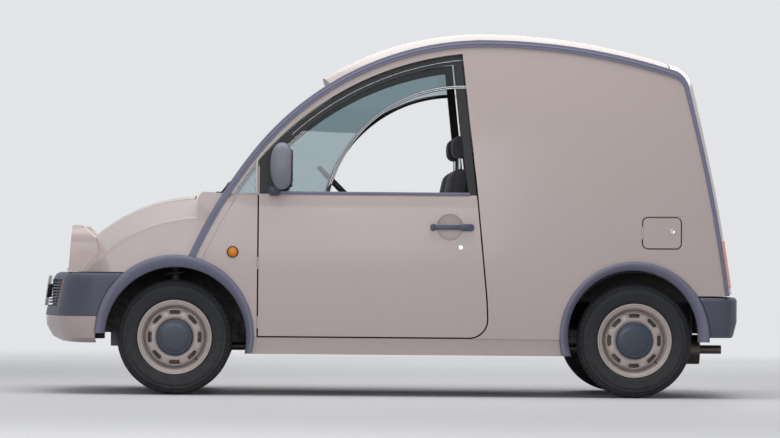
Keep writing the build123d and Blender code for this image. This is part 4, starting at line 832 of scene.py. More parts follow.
# Wheels, in local coordinates: radius, and distance outwards from the wheel's middle plane
wheel = {
    "pitches": 64,
    "blockTurn": 4.9,
    "slotTurn": 12.2,
    "slotInner": 0.1150,
    "slotOuter": 0.1335,
    "tyreSide": ((0.1665, 0.0530), (0.1760, 0.0570), (0.1835, 0.0605), (0.1850, 0.0650), (0.1880, 0.0668),
                 (0.1960, 0.0700), (0.1980, 0.0716), (0.2000, 0.0712), (0.2100, 0.0742), (0.2240, 0.0765),
                 (0.2300, 0.0768), (0.2310, 0.0775), (0.2335, 0.0775), (0.2345, 0.0766), (0.2440, 0.0750),
                 (0.2490, 0.0736), (0.2500, 0.0742), (0.2525, 0.0735), (0.2535, 0.0718), (0.2600, 0.0660),
                 (0.2660, 0.0600), (0.2715, 0.0520), (0.2745, 0.0430), (0.2755, 0.0300)),
    "rimOuter": ((0.1650, 0.0540), (0.1700, 0.0600), (0.1800, 0.0620), (0.1825, 0.0640), (0.1820, 0.0662),
                 (0.1795, 0.0668), (0.1765, 0.0662), (0.1748, 0.0640), (0.1728, 0.0600), (0.1700, 0.0582),
                 (0.1650, 0.0565), (0.1615, 0.0530), (0.1590, 0.0460), (0.1565, 0.0350), (0.1540, 0.0230),
                 (0.1515, 0.0110), (0.1490, 0.0030)),
    "rimInner": ((0.1470, -0.002), (0.1470, -0.020), (0.1570, -0.045), (0.1735, -0.0600), (0.1800, -0.0640),
                 (0.1825, -0.0630), (0.1780, -0.0600), (0.1700, -0.0580), (0.1650, -0.0540)),
    "cap": ((0.0, 0.0603), (0.030, 0.0600), (0.060, 0.0585), (0.0735, 0.0568), (0.0750, 0.0560),
            (0.0770, 0.0560), (0.0785, 0.0563), (0.0830, 0.0552), (0.0880, 0.0520), (0.0905, 0.0475),
            (0.0910, 0.0425), (0.0910, 0.0330), (0.0880, 0.0323), (0.0, 0.0323)),
    "drum": ((0.104, 0.0120), (0.141, 0.0120), (0.141, 0.0165), (0.138, 0.0185), (0.104, 0.0185)),
    "valve": ((0.156, 0.036, 0.0), (0.150, 0.040, 0.0), (0.146, 0.046, 0.0), (0.144, 0.056, 0.0)),
    "valveTurn": 135,
    "discWall": 0.0035,
    "places": {
        "front_left": (1.0725, 0.6825, 1), "front_right": (1.0725, -0.6825, -1),
        "rear_left": (-1.1875, 0.6900, 1), "rear_right": (-1.1875, -0.6900, -1),
    },
    "axleZ": 0.283,
}
outwards = turnAbout("X", -90)   # local z to +Y


def tyreMesh():
    side = wheel["tyreSide"]
    profile = list(side) + [(r, -y) for r, y in reversed(side)]
    return spinMesh("tyre", profile, outwards, 128, 60, closed=True)


def treadMesh():
    # One pitch of the tread, repeated round the tyre
    half = radians(wheel["blockTurn"]) / 2
    sections = [
        [(-0.011, 0.2740), (0.011, 0.2740), (0.011, 0.2820), (0.0098, 0.2828), (-0.0098, 0.2828),
         (-0.011, 0.2820)],
        [(0.0150, 0.2740), (0.0300, 0.2740), (0.0300, 0.2814), (0.0288, 0.2822), (0.0162, 0.2827),
         (0.0150, 0.2818)],
        [(0.0340, 0.2720), (0.0500, 0.2680), (0.0610, 0.2590), (0.0672, 0.2600), (0.0640, 0.2660),
         (0.0590, 0.2725), (0.0530, 0.2775), (0.0455, 0.2806), (0.0352, 0.2818), (0.0340, 0.2808)],
    ]
    sections += [[(-y, r) for y, r in reversed(section)] for section in sections[1:]]
    points = []
    faces = []
    for number, section in enumerate(sections):
        first = len(points)
        shift = half * (0.5 if number in (1, 3) else 0)
        for turn in (-half + shift, half + shift):
            points += [(r * sin(turn), y, r * cos(turn)) for y, r in section]
        count = len(section)
        faces.append(tuple(first + i for i in range(count)))
        faces.append(tuple(first + count + i for i in range(count - 1, -1, -1)))
        for i in range(count):
            j = (i + 1) % count
            faces.append((first + i, first + count + i, first + count + j, first + j))
    block = meshFrom("tread", points, faces, 30)
    return repeatMesh(block, "tyreRubber", wheel["pitches"], turn=(0, tau / wheel["pitches"], 0))


def valueAt(table, radius):
    # The value at a radius in a table of (radius, value)
    for (r0, v0), (r1, v1) in zip(table[:-1], table[1:]):
        if radius <= r1:
            return v0 + (v1 - v0) * (radius - r0) / (r1 - r0)
    return table[-1][1]


def addSmoothing(holder):
    smooth = holder.modifiers.new("smooth", "SUBSURF")
    smooth.levels = smooth.render_levels = 1


def discMesh():
    # The wheel's disc: a grid round the hub with eight windows and raised pads between them
    slotTurn, slotInner, slotOuter = wheel["slotTurn"], wheel["slotInner"], wheel["slotOuter"]
    sector = 45.0
    turns = [-22.5, -19.5, -16.5, -14.0, -slotTurn, -7.0, 0.0, 7.0, slotTurn, 14.0, 16.5, 19.5]
    radii = [0.0255, 0.050, 0.080, 0.090, 0.098, 0.106, 0.111, slotInner, 0.121, 0.128, slotOuter, 0.1368,
             0.1395, 0.1420, 0.1505]
    base = ((0.0255, 0.024), (0.080, 0.027), (0.090, 0.031), (0.098, 0.0358), (0.106, 0.0372),
            (0.111, 0.0350), (0.121, 0.0290), (0.1335, 0.0240), (0.1368, 0.0238), (0.1395, 0.0225),
            (0.1420, 0.0150), (0.1505, 0.0050))
    pad = ((0.0255, 0.0), (0.106, 0.0), (0.111, 0.0018), (0.121, 0.0065), (0.128, 0.0085), (0.1335, 0.0080),
           (0.1368, 0.0050), (0.1395, 0.0015), (0.1420, 0.0), (0.1505, 0.0))

    def inWindow(band, column):
        inBand = radii[band] >= slotInner and radii[band + 1] <= slotOuter
        return inBand and -slotTurn <= turns[column % len(turns)] < slotTurn

    columns = [sector * number + turn for number in range(8) for turn in turns]
    count = len(columns)
    points = []
    for radius in radii:
        # The windows narrow towards the hub
        narrower = 1.7 * clamped((slotOuter - radius) / (slotOuter - slotInner))
        for turn in columns:
            local = (turn + sector / 2) % sector - sector / 2
            height = valueAt(base, radius) + eased((abs(local) - 12.0) / 5.5) * valueAt(pad, radius)
            if abs(abs(local) - slotTurn) < 0.1:
                turn -= narrower * (1 if local > 0 else -1)
            angle = radians(turn + 90)
            points.append((radius * cos(angle), radius * sin(angle), height))
    faces = [face for number, face in enumerate(gridFaces(len(radii) - 1, count))
             if not inWindow(number // count, number % count)]
    mesh = meshFrom("disc", points, faces, merge=1e-6)
    if sum(face.normal.z * face.area for face in mesh.polygons) < 0:
        mesh.flip_normals()
    holder = holderFor(mesh)
    wall = holder.modifiers.new("wall", "SOLIDIFY")
    wall.thickness = wheel["discWall"]
    wall.offset = -1
    addSmoothing(holder)
    result = meshOf(holder)
    result.transform(outwards)
    smoothByAngle(result, 50)
    return result


def valveMesh():
    mesh = tubeMesh(wheel["valve"], 0.0042, "blackPlastic", resolution=10)
    mesh.transform(turnAbout("Y", wheel["valveTurn"]))
    return mesh


tyreForm = joined("tyre", tyreMesh(), treadMesh())
rimRing = spinMesh("rim", wheel["rimOuter"] + wheel["rimInner"], outwards, 128, 40, closed=True)
rimForm = joined("rim", rimRing, discMesh())
capForm = spinMesh("cap", wheel["cap"], outwards, 96, 30)
valveForm = valveMesh()
drumForm = spinMesh("drum", wheel["drum"], outwards, 72, 40, closed=True)
for place, (x, y, side) in wheel["places"].items():
    for kind, form, look, replaced in (
        ("tyre", tyreForm, "tyreRubber", ["tyre_" + place]),
        ("rim", rimForm, "wheelPaint", ["rim_" + place]),
        ("hubCap", capForm, "capPlastic", ["cap_" + place]),
        ("valve", valveForm, "blackPlastic", []),
        ("brakeDrum", drumForm, "axleSteel", []),
    ):
        mesh = form.copy() if side > 0 else mirrored(form)
        mesh.transform(Matrix.Translation((x, y, wheel["axleZ"])))
        addPiece(kind + "." + place, mesh, look, "wheel_" + place, replaced)
print("wheels made")

# Headlamps: bezel, reflector, bulb and fluted glass in the mouth of each pod
headlamp = {"x": 1.5623, "y": 0.505, "z": 0.727, "radius": 0.088, "flutes": 22}


def headlampPieces():
    forwards = Matrix.Translation((headlamp["x"], headlamp["y"], headlamp["z"])) @ turnAbout("Y", 90)
    r = headlamp["radius"]
    bezel = spinMesh("bezel", [(r - 0.009, 0.004), (r, 0.004), (r, 0.022), (r - 0.002, 0.026),
                               (r - 0.006, 0.027), (r - 0.009, 0.024)], forwards, 72, 40, closed=True)
    bowl = spinMesh("bowl", [(0.0, 0.0005), (0.03, 0.001), (0.055, 0.0045), (r - 0.010, 0.013),
                             (r - 0.0075, 0.016), (r - 0.0075, 0.003), (0.055, -0.0002), (0.0, -0.0002)],
                    forwards, 72, 40)
    dome = []
    for step in range(13):
        share = step / 12
        dome.append(((r - 0.0085) * share, 0.0185 + 0.0085 * (1 - share * share)))
    lens = spinMesh("lens", dome + [(r - 0.0085, 0.0155), (0.0, 0.0155)], forwards, 72, 50)
    bulb = spinMesh("bulb", [(0.0, 0.015), (0.006, 0.0135), (0.008, 0.010), (0.007, 0.004), (0.0, 0.0015)],
                    forwards, 24, 60)
    flute = prismMesh("flute", [(-0.0016, 0.0), (0.0016, 0.0), (0.0, 0.0013)], -0.073, 0.073)
    rows = []
    for i in range(headlamp["flutes"]):
        offset = (i - (headlamp["flutes"] - 1) / 2) * 0.0068
        half = sqrt(max(0.0, (r - 0.011) ** 2 - offset ** 2))
        one = flute.copy()
        one.transform(Matrix.Translation((headlamp["x"] + 0.0158, headlamp["y"] + offset, headlamp["z"]))
                      @ turnAbout("Y", -90) @ turnAbout("Z", 90)
                      @ Matrix.Scale(half / 0.073, 4, (0, 1, 0)))
        rows.append(one)
    return bezel, bowl, lens, bulb, joined("flutes", *rows)


bezel, bowl, lens, bulb, flutes = headlampPieces()
onBothSides("headlampBezel", bezel, "brightMetal", replaced=(["headlamps"], []))
onBothSides("headlampBowl", bowl, "reflectorMetal")
onBothSides("headlampBulb", bulb, "lampGlass")
onBothSides("headlampGlass", lens, "lampGlass")

# Indicators behind the slats, repeaters on the sides, and ribbed tail lamps
repeater = {"x": 0.791, "z": 0.703, "radius": 0.028, "rise": 0.013}
indicatorForward = 0.009
indicatorLens = bevelled(partMesh("amber_lamps", lambda p: p.x > 1.2, "indicators"), 0.0015)
indicatorLens.transform(Matrix.Translation((indicatorForward, 0, 0)))
addPiece("indicators", indicatorLens, "amberLens", "root", ["amber_lamps"])


def sideways(x, z, proud=0.0):
    # Places local z outwards from the skin at a point of the left side
    lean = asin((z - skin["widest"]) / skin["tumble"])
    return Matrix.Translation((x, skinY(z) + proud, z)) @ Matrix.Rotation(-pi / 2 + lean, 4, "X")


def repeaterPieces():
    r = repeater["radius"]
    place = sideways(repeater["x"], repeater["z"])
    ring = spinMesh("repeaterRing", [(r - 0.004, -0.001), (r + 0.001, -0.001), (r + 0.001, 0.003),
                                     (r - 0.001, 0.0055), (r - 0.004, 0.0055)], place, 48, 40, closed=True)
    dome = []
    for step in range(11):
        share = step / 10
        dome.append(((r - 0.0042) * share, 0.004 + repeater["rise"] * sqrt(max(0.0, 1 - share ** 2.6))))
    glass = spinMesh("repeaterGlass", dome + [(r - 0.0042, -0.001), (0.0, -0.001)], place, 48, 60)
    return ring, glass


ring, glass = repeaterPieces()
onBothSides("repeaterRing", ring, "blackPlastic")
onBothSides("repeaterGlass", glass, "amberLens")

tailLamps = dressNode("tail_lamps", "orangeLens", edge=0.006, name="tailLampGlass")
finishMesh(tailLamps)
tailRib = {"count": 11, "low": 0.560, "high": 0.766, "inner": 0.616, "outer": 0.728, "size": 0.0012}


def tailRibMesh():
    # Ribs across the tail lamp, set on its sloping face by casting from behind
    surface = surfaceOf(tailLamps.data)
    rows = []
    for i in range(tailRib["count"]):
        z = tailRib["low"] + (tailRib["high"] - tailRib["low"]) * i / (tailRib["count"] - 1)
        path = []
        for step in range(9):
            y = tailRib["inner"] + (tailRib["outer"] - tailRib["inner"]) * step / 8
            hit = surface.ray_cast(Vector((-2.5, y, z)), Vector((1, 0, 0)))[0]
            if hit is not None:
                path.append((hit.x + 0.0004, y, z))
        rows.append(tubeMesh(path, tailRib["size"], "orangeLens", resolution=6))
    return joined("tailRibs", *rows)


onBothSides("tailLampRibs", tailRibMesh(), "orangeLens")
print("lamps made")

# Upright stiffeners behind the grille's slats, one mesh for each place across the bumper
grille = {"ribs": (0.04, 0.12, 0.20, 0.28, 0.36, 0.44), "slatZ": 0.4878, "low": 0.4305, "high": 0.5595,
          "setBack": 0.010, "depth": 0.036, "half": 0.0015}
slatFace = surfaceOf(nodes["front_bumper"].data)
ribForms = []
for y in grille["ribs"]:
    x = slatFace.ray_cast(Vector((1.8, y, grille["slatZ"])), Vector((-1, 0, 0)))[0].x - grille["setBack"]
    ribForms.append(blockMesh("grilleRib", (x - grille["depth"], y - grille["half"], grille["low"]),
                              (x, y + grille["half"], grille["high"]), 0.0005, 1))
onBothSides("grilleRibs", joined("grilleRibs", *ribForms), "blackPlastic")

# Number plate left blank, on its bracket in front of the grille
plate = {"width": 0.330, "low": (1.7352, 0.428), "high": (1.7160, 0.578), "thickness": 0.0016}


def platePieces():
    lowX, lowZ = plate["low"]
    highX, highZ = plate["high"]
    height = sqrt((highX - lowX) ** 2 + (highZ - lowZ) ** 2)
    lean = atan2(lowX - highX, highZ - lowZ)
    place = Matrix.Translation(((lowX + highX) / 2, 0, (lowZ + highZ) / 2)) @ Matrix.Rotation(-lean, 4, "Y")
    turned = place @ turnAbout("Z", 90)
    width = plate["width"]
    sheet = plateMesh("plate", (0, 0), (width, height), 0.012, 0, plate["thickness"], place=turned)
    edge = roundedOutline((0, 0), (width - 0.008, height - 0.008), 0.010)
    rim = tubeMesh([(a, -0.0012, b) for a, b in edge], 0.0016, "plateEnamel", closed=True)
    rim.transform(turned)
    backing = plateMesh("bracket", (0, 0), (width * 0.7, height * 0.45), 0.01, 0.0022, 0.014, 0.002, turned)
    profile = [(0.0, 0.0035), (0.004, 0.0035), (0.006, 0.0012), (0.006, -0.002), (0.0, -0.002)]
    bolts = [spinMesh("bolt", profile, place @ Matrix.Translation((0.0, y, 0.045)) @ turnAbout("Y", 90),
                      6, 30) for y in (-0.105, 0.105)]
    return joined("plate", sheet, rim), backing, joined("bolts", *bolts)


plateSheet, plateBracket, plateBolts = platePieces()
addPiece("numberPlate", plateSheet, "plateEnamel")
addPiece("plateBracket", plateBracket, "blackPlastic")
addPiece("plateBolts", plateBolts, "brightMetal")

# Door mirrors: an oval shell on a ball foot, with glass to the rear
mirror = {"centre": (0.552, 0.826, 1.126), "half": (0.0575, 0.054, 0.115), "tall": 2.25,
          "plan": 3.2, "flat": -0.044}


def mirrorShell():
    # A rounded shell, squarer seen from above than from behind, with a flat for the glass
    def rounded(value, power):
        return abs(value) ** (2 / power) * (1 if value > 0 else -1)

    points = []
    rows, columns = 28, 40
    centre, half = mirror["centre"], mirror["half"]
    for row in range(rows + 1):
        latitude = pi * (row / rows - 0.5)
        wide = rounded(cos(latitude), mirror["tall"])
        for column in range(columns):
            longitude = tau * column / columns
            x = half[0] * wide * rounded(cos(longitude), mirror["plan"])
            y = half[1] * wide * rounded(sin(longitude), mirror["plan"])
            z = half[2] * rounded(sin(latitude), mirror["tall"])
            points.append((centre[0] + max(x, mirror["flat"]), centre[1] + y, centre[2] + z))
    faces = gridFaces(rows, columns)
    return meshFrom("mirrorShell", points, faces, 50, 1e-5)


def mirrorPieces():
    x, y, z = mirror["centre"]
    backwards = Matrix.Translation((x + mirror["flat"] - 0.0005, y, z)) @ turnAbout("Y", -90)
    outline = Matrix.Diagonal((1.76, 0.98, 1.0, 1.0))
    frameRing = spinMesh("mirrorRim", [(0.0405, -0.004), (0.0455, -0.004), (0.0455, 0.0065), (0.0435, 0.0085),
                                       (0.0405, 0.0075)], backwards @ outline, 56, 40, closed=True)
    glassDisc = spinMesh("mirrorGlass", [(0.0, 0.0052), (0.041, 0.0052), (0.041, 0.002), (0.0, 0.002)],
                         backwards @ outline, 56, 40)
    foot = tubeMesh([(0.590, 0.752, 0.998), (0.586, 0.775, 1.006), (0.579, 0.800, 1.022),
                     (0.570, 0.816, 1.046)], 0.0125, "blackPlastic", resolution=16)
    ball = spinMesh("mirrorBall", [(0.021 * sin(pi * i / 12), -0.021 * cos(pi * i / 12)) for i in range(13)],
                    Matrix.Translation((0.592, 0.768, 1.004)), 24, 80)
    base = plateMesh("mirrorBase", (0.588, 1.004), (0.058, 0.046), 0.016, 0.745, 0.757, 0.003)
    return frameRing, glassDisc, joined("mirrorFoot", foot, ball, base)


doors = ("door_left", "door_right")
mirrorRim, mirrorGlass, mirrorFoot = mirrorPieces()
onBothSides("mirrorShell", mirrorShell(), "mirrorPlastic", doors,
            (["door_left_mirror"], ["door_right_mirror"]))
onBothSides("mirrorRim", mirrorRim, "blackPlastic", doors)
onBothSides("mirrorGlass", mirrorGlass, "reflectorMetal", doors)
onBothSides("mirrorFoot", mirrorFoot, "handlePlastic", doors)

# Door handle: a slim bar with a grip at each end, over the round recess
handle = {"rear": -0.392, "front": -0.178, "z": 0.833, "height": 0.024}


def handleMesh():
    # The bar, its two grips and the button: centre, length, height, corner, inner face, outer face, edge
    rear, front = handle["rear"], handle["front"]
    parts = (
        ((rear + front) / 2, front - rear - 0.01, handle["height"], 0.010, 0.7770, 0.7915, 0.0028),
        (rear + 0.033, 0.066, 0.033, 0.014, 0.7600, 0.7935, 0.0028),
        (front - 0.013, 0.026, 0.033, 0.011, 0.7600, 0.7930, 0.0028),
        (rear + 0.045, 0.024, 0.016, 0.006, 0.7920, 0.7952, 0.001),
    )
    z = handle["z"]
    return joined("handle", *(plateMesh("handle", (x, z), (length, height), corner, inner, outer, edge)
                              for x, length, height, corner, inner, outer, edge in parts))


onBothSides("doorHandle", handleMesh(), "handlePlastic", doors, (["door_left_handle"], ["door_right_handle"]))


def lockPieces(x, z, radius):
    place = sideways(x, z)
    body = spinMesh("lock", [(0.0, 0.0012), (radius * 0.45, 0.0012), (radius * 0.5, 0.0032),
                             (radius * 0.85, 0.0036), (radius, 0.0012), (radius, -0.006), (0.0, -0.006)],
                    place, 32, 35)
    slot = plateMesh("keySlot", (0, 0), (0.0016, radius * 0.62), 0.0007, 0.0004, 0.0018)
    slot.transform(place @ turnAbout("X", 90))
    return body, slot


lockBody, lockSlot = lockPieces(-0.326, 0.737, 0.0145)
onBothSides("doorLock", lockBody, "brightMetal", doors)
onBothSides("doorLockSlot", lockSlot, "blackPlastic", doors)
flapBody, flapSlot = lockPieces(-1.367, 0.820, 0.0135)
addPiece("flapLock", flapBody, "brightMetal", "fuel_flap")
addPiece("flapLockSlot", flapSlot, "blackPlastic", "fuel_flap")

# Window trims of the doors: belt strip, bright line round the glass and on the arched bar
window = {
    "beltFront": 0.560, "beltRear": -0.372, "beltLow": 0.9906, "beltHigh": 1.0035,
    "arcCentre": (-0.485, 0.2006), "arcRadius": 1.4975, "lineInset": 0.031, "rearTop": -0.352,
    "lineFront": 0.505, "splitFront": 0.322, "splitCentre": (-0.338, 0.843), "splitRadius": 0.682,
}


def frameSkin(z, proud):
    return skinY(z) - 0.012 + proud


def arcPoints(centre, radius, firstX, lastX, proud, lowest=1.0):
    # Points of an arc on the frame's face from one x to another
    path = []
    for step in range(61):
        x = firstX + (lastX - firstX) * step / 60
        z = centre[1] + sqrt(max(0.0, radius ** 2 - (x - centre[0]) ** 2))
        if z >= lowest:
            path.append((x, frameSkin(z, proud), z))
    return path


def windowTrims():
    z = window["beltLow"]
    belt = prismMesh("belt", [(window["beltRear"], z), (window["beltFront"], z),
                              (window["beltFront"] + 0.004, window["beltHigh"]),
                              (window["beltRear"], window["beltHigh"])],
                     frameSkin(z, -0.002), frameSkin(z, 0.0085))
    belt = bevelled(belt, 0.0022)
    line = arcPoints(window["arcCentre"], window["arcRadius"] - window["lineInset"], window["lineFront"],
                     window["rearTop"], 0.0005)
    topZ = line[-1][2]
    line += [(window["rearTop"] - 0.001 - 0.02 * i / 6, frameSkin(topZ - 0.035 * i, 0.0005), topZ - 0.035 * i)
             for i in range(1, 7)]
    bars = []
    for shift in (-0.0042, 0.0042):
        bar = arcPoints(window["splitCentre"], window["splitRadius"] + shift, window["splitFront"],
                        window["beltRear"], 0.0008)
        bars.append(tubeMesh(bar, 0.0021, "brightMetal"))
    return belt, tubeMesh(line, 0.0013, "brightMetal", resolution=6), joined("splitLines", *bars)


beltTrim, glassLine, splitLines = windowTrims()
# The belt strip's pale bluish grey is a painted highlight along the belt line
onBothSides("beltStripPaintedHighlight", beltTrim, "beltStripPaintedHighlight", doors)
onBothSides("glassLine", glassLine, "brightMetal", doors)
onBothSides("splitLines", splitLines, "brightMetal", doors)

# Rubber seals on the front pillars, behind the doors' front edges
seal = {"x": 0.668, "low": 0.300, "high": 0.984, "wall": 0.045, "radius": 0.0072}
sealPath = []
for step in range(25):
    z = seal["low"] + (seal["high"] - seal["low"]) * step / 24
    sealPath.append((seal["x"], skinY(z) - seal["wall"] - seal["radius"] + 0.0005, z))
onBothSides("doorSeal", tubeMesh(sealPath, seal["radius"], "blackPlastic", resolution=12), "blackPlastic")
print("door trims made")

# Steering wheel: padded rim, two lower spokes, one across, and a plain hub
steering = {"centre": (0.241, -0.340, 1.005), "tilt": 45, "radius": 0.178, "rim": 0.0125}


def steeringMesh():
    lean = radians(90 - steering["tilt"])
    place = Matrix.Translation(steering["centre"]) @ Matrix.Rotation(-lean, 4, "Y")
    ringPoints = [(steering["radius"] * cos(tau * i / 72), steering["radius"] * sin(tau * i / 72), 0.012)
                  for i in range(72)]
    rim = tubeMesh(ringPoints, steering["rim"], "dashPlastic", closed=True, resolution=14)
    rim.transform(place)
    parts = [rim]
    for turn in (0, 180, 270):
        spoke = prismMesh("spoke", [(0.03, 0.004), (0.174, 0.008), (0.174, 0.016), (0.03, 0.022)],
                          -0.015, 0.015)
        spoke.transform(place @ turnAbout("Z", turn + 90))
        parts.append(bevelled(spoke, 0.003))
    hub = spinMesh("hub", [(0.0, 0.026), (0.036, 0.0255), (0.046, 0.023), (0.052, 0.017), (0.052, 0.001),
                           (0.0, 0.001)], place, 48, 40)
    return joined("steering", *parts, hub)


addPiece("steeringWheel", steeringMesh(), "dashPlastic", "steering_wheel", ["steering_wheel"])

# Seats: cloth cushions swollen over their foam, piping, and a headrest on two posts
seat = {
    "y": 0.340, "width": 0.455,
    "cushion": ((-0.195, 0.490), (0.215, 0.475), (0.245, 0.520), (0.238, 0.570), (0.205, 0.592),
                (-0.170, 0.586), (-0.200, 0.560)),
    "back": ((-0.185, 0.600), (-0.268, 0.560), (-0.378, 1.110), (-0.350, 1.140), (-0.300, 1.132),
             (-0.222, 0.760)),
    # The headrest's centre, size and corner, and half of its width
    "headrest": ((-0.335, 1.235), (0.082, 0.112), 0.034),
    "headHalf": 0.122,
    "voxel": 0.012, "pressure": 4.0, "frames": 15, "cap": 0.014, "headCap": 0.006, "weltInset": 0.004,
}


def swollen(mesh, cap):
    # Cloth over foam: the block is remeshed, blown up a little and kept within the cap
    holder = holderFor(mesh)
    remesh = holder.modifiers.new("remesh", "REMESH")
    remesh.mode = "VOXEL"
    remesh.voxel_size = seat["voxel"]
    finishMesh(holder)
    before = [v.co.copy() for v in holder.data.vertices]
    cloth = holder.modifiers.new("cloth", "CLOTH")
    cloth.settings.use_pressure = True
    cloth.settings.uniform_pressure_force = seat["pressure"]
    cloth.settings.effector_weights.gravity = 0
    cloth.settings.quality = 4
    for number in range(1, seat["frames"] + 1):
        bpy.context.scene.frame_set(number)
    finishMesh(holder)
    bpy.context.scene.frame_set(1)
    for vertex, start in zip(holder.data.vertices, before):
        move = vertex.co - start
        if move.length > cap:
            vertex.co = start + move * (cap / move.length)
    addSmoothing(holder)
    result = meshOf(holder)
    smoothByAngle(result, 80)
    return result


def pipingMesh(mesh, outline, y, radius=0.0035):
    # A welt along the side of a cushion, laid on its surface
    surface = surfaceOf(mesh)
    path = []
    count = len(outline)
    for i in range(count):
        a, b = Vector(outline[i]), Vector(outline[(i + 1) % count])
        steps = max(1, int((b - a).length / 0.02))
        for step in range(steps):
            point = a.lerp(b, step / steps)
            hit = surface.find_nearest(Vector((point.x, y, point.y)))
            path.append(hit[0] + hit[1] * 0.001)
    return tubeMesh(path, radius, "seatCloth", closed=True)


def seatPieces():
    parts = []
    half = seat["width"] / 2
    for name in ("cushion", "back"):
        outline = seat[name]
        foam = swollen(bevelled(prismMesh(name, outline, -half, half), 0.022), seat["cap"])
        welts = [pipingMesh(foam, outline, side * (half - seat["weltInset"])) for side in (-1, 1)]
        parts.append((name, foam, joined("welts", *welts)))
    outline = roundedOutline(*seat["headrest"])
    half = seat["headHalf"]
    head = swollen(bevelled(prismMesh("headrest", outline, -half, half), 0.03, 4), seat["headCap"])
    parts.append(("headrest", head, pipingMesh(head, outline, half - seat["weltInset"])))
    return parts


seatForms = seatPieces()
for side, sideName in ((1, "left"), (-1, "right")):
    shift = Matrix.Translation((0, side * seat["y"], 0))
    for name, foam, welts in seatForms:
        padMesh, weltMesh = foam.copy(), welts.copy()
        padMesh.transform(shift)
        weltMesh.transform(shift)
        # The first cushion stands for the whole node
        replaced = ["seats"] if (name, side) == ("cushion", 1) else []
        pad = addPiece("seat." + name + "." + sideName, padMesh, "seatCloth", "root", replaced)
        addPiece("seat." + name + "Welt." + sideName, weltMesh, "seatCloth")


def seatFrameMesh():
    # Plinth, side rails and the headrest's posts
    y = seat["y"]
    plinth = blockMesh("plinth", (-0.165, y - 0.20, 0.2955), (0.175, y + 0.20, 0.470), 0.012)
    rails = [blockMesh("rail", (-0.200, y + s * 0.205 - 0.012, 0.445),
                       (0.200, y + s * 0.205 + 0.012, 0.485), 0.006) for s in (-1, 1)]
    posts = [tubeMesh([(-0.335, y + s * 0.055, 1.10), (-0.335, y + s * 0.055, 1.20)], 0.006, "brightMetal",
                      resolution=12) for s in (-1, 1)]
    profile = [(0.0, 0.012), (0.028, 0.011), (0.033, 0.006), (0.033, -0.006), (0.0, -0.006)]
    place = Matrix.Translation((-0.200, y + 0.232, 0.560)) @ turnAbout("X", -90)
    hinge = spinMesh("recliner", profile, place, 32, 40)
    return joined("seatFrame", plinth, *rails, hinge), joined("posts", *posts)


frameForm, postForm = seatFrameMesh()
onBothSides("seatFrame", frameForm, "blackPlastic")
onBothSides("headrestPosts", postForm, "brightMetal")
print("seats made")

# Dials, gear lever, handbrake and pedals about the driver's place
cab = {"dialX": 0.556, "dialZ": 0.925, "dialY": (-0.405, -0.275), "dialRadius": 0.048, "dialTilt": -18,
       "ticks": 11, "sweep": 240, "handTurn": 20,
       "leverFoot": (0.335, 0.0, 0.305), "leverTop": (0.285, -0.015, 0.640)}


def dialPieces(y):
    place = Matrix.Translation((cab["dialX"], y, cab["dialZ"])) @ turnAbout("Y", cab["dialTilt"] - 90)
    r = cab["dialRadius"]
    rim = spinMesh("dialRim", [(r - 0.004, -0.004), (r, -0.004), (r, 0.006), (r - 0.002, 0.009),
                               (r - 0.004, 0.006)], place, 48, 40, closed=True)
    face = spinMesh("dialFace", [(0.0, 0.002), (r - 0.004, 0.002), (r - 0.004, -0.003), (0.0, -0.003)],
                    place, 48, 40)
    tick = blockMesh("tick", (r * 0.74, -0.0008, 0.002), (r * 0.88, 0.0008, 0.0028), 0.0003, 1)
    between = radians(cab["sweep"]) / (cab["ticks"] - 1)
    ticks = repeatMesh(tick, "plateEnamel", cab["ticks"], turn=(0, 0, between))
    hand = blockMesh("hand", (-0.006, -0.0009, 0.0030), (r * 0.70, 0.0009, 0.0040), 0.0003, 1)
    hand.transform(turnAbout("Z", cab["handTurn"]))
    marks = joined("marks", ticks, hand)
    marks.transform(place)
    return rim, face, marks


dialRims, dialFaces, dialMarks = ([*kind] for kind in zip(*(dialPieces(y) for y in cab["dialY"])))
addPiece("dialRims", joined("dialRims", *dialRims), "blackPlastic")
addPiece("dialFaces", joined("dialFaces", *dialFaces), "dialFace")
addPiece("dialMarks", joined("dialMarks", *dialMarks), "plateEnamel")


def leverMesh():
    foot, top = Vector(cab["leverFoot"]), Vector(cab["leverTop"])
    bend = foot.lerp(top, 0.5) + Vector((0.01, 0, 0))
    stick = tubeMesh([foot, bend, top], 0.006, "blackPlastic", resolution=12)
    knob = spinMesh("knob", [(0.0, 0.024), (0.012, 0.022), (0.019, 0.014), (0.021, 0.004), (0.018, -0.008),
                             (0.010, -0.018), (0.0, -0.020)], Matrix.Translation(top), 32, 80)
    boot = spinMesh("boot", [(0.0, 0.110), (0.012, 0.108), (0.016, 0.090), (0.024, 0.084), (0.026, 0.066),
                             (0.036, 0.060), (0.038, 0.040), (0.050, 0.034), (0.052, 0.012), (0.066, 0.004),
                             (0.068, -0.004), (0.0, -0.004)], Matrix.Translation(foot), 32, 60)
    brake = [tubeMesh([(0.060, 0.0, 0.400), (-0.020, 0.0, 0.352), (-0.090, 0.0, 0.312)], 0.011,
                      "blackPlastic", resolution=14)]
    for y in (-0.46, -0.37, -0.28):
        pad = blockMesh("pedal", (0.668, y - 0.026, 0.352), (0.682, y + 0.026, 0.400), 0.004, 2)
        arm = tubeMesh([(0.680, y, 0.380), (0.706, y, 0.470), (0.720, y, 0.600)], 0.006, "blackPlastic")
        brake += [pad, arm]
    return joined("controls", stick, knob, boot, *brake)


addPiece("cabControls", leverMesh(), "blackPlastic")

# Door trim boards with a pull, a winder and a pocket, and belts from the posts behind the seats
card = {"rear": -0.430, "front": 0.625, "low": 0.310, "high": 0.965, "thickness": 0.004, "doorDepth": 0.0615}


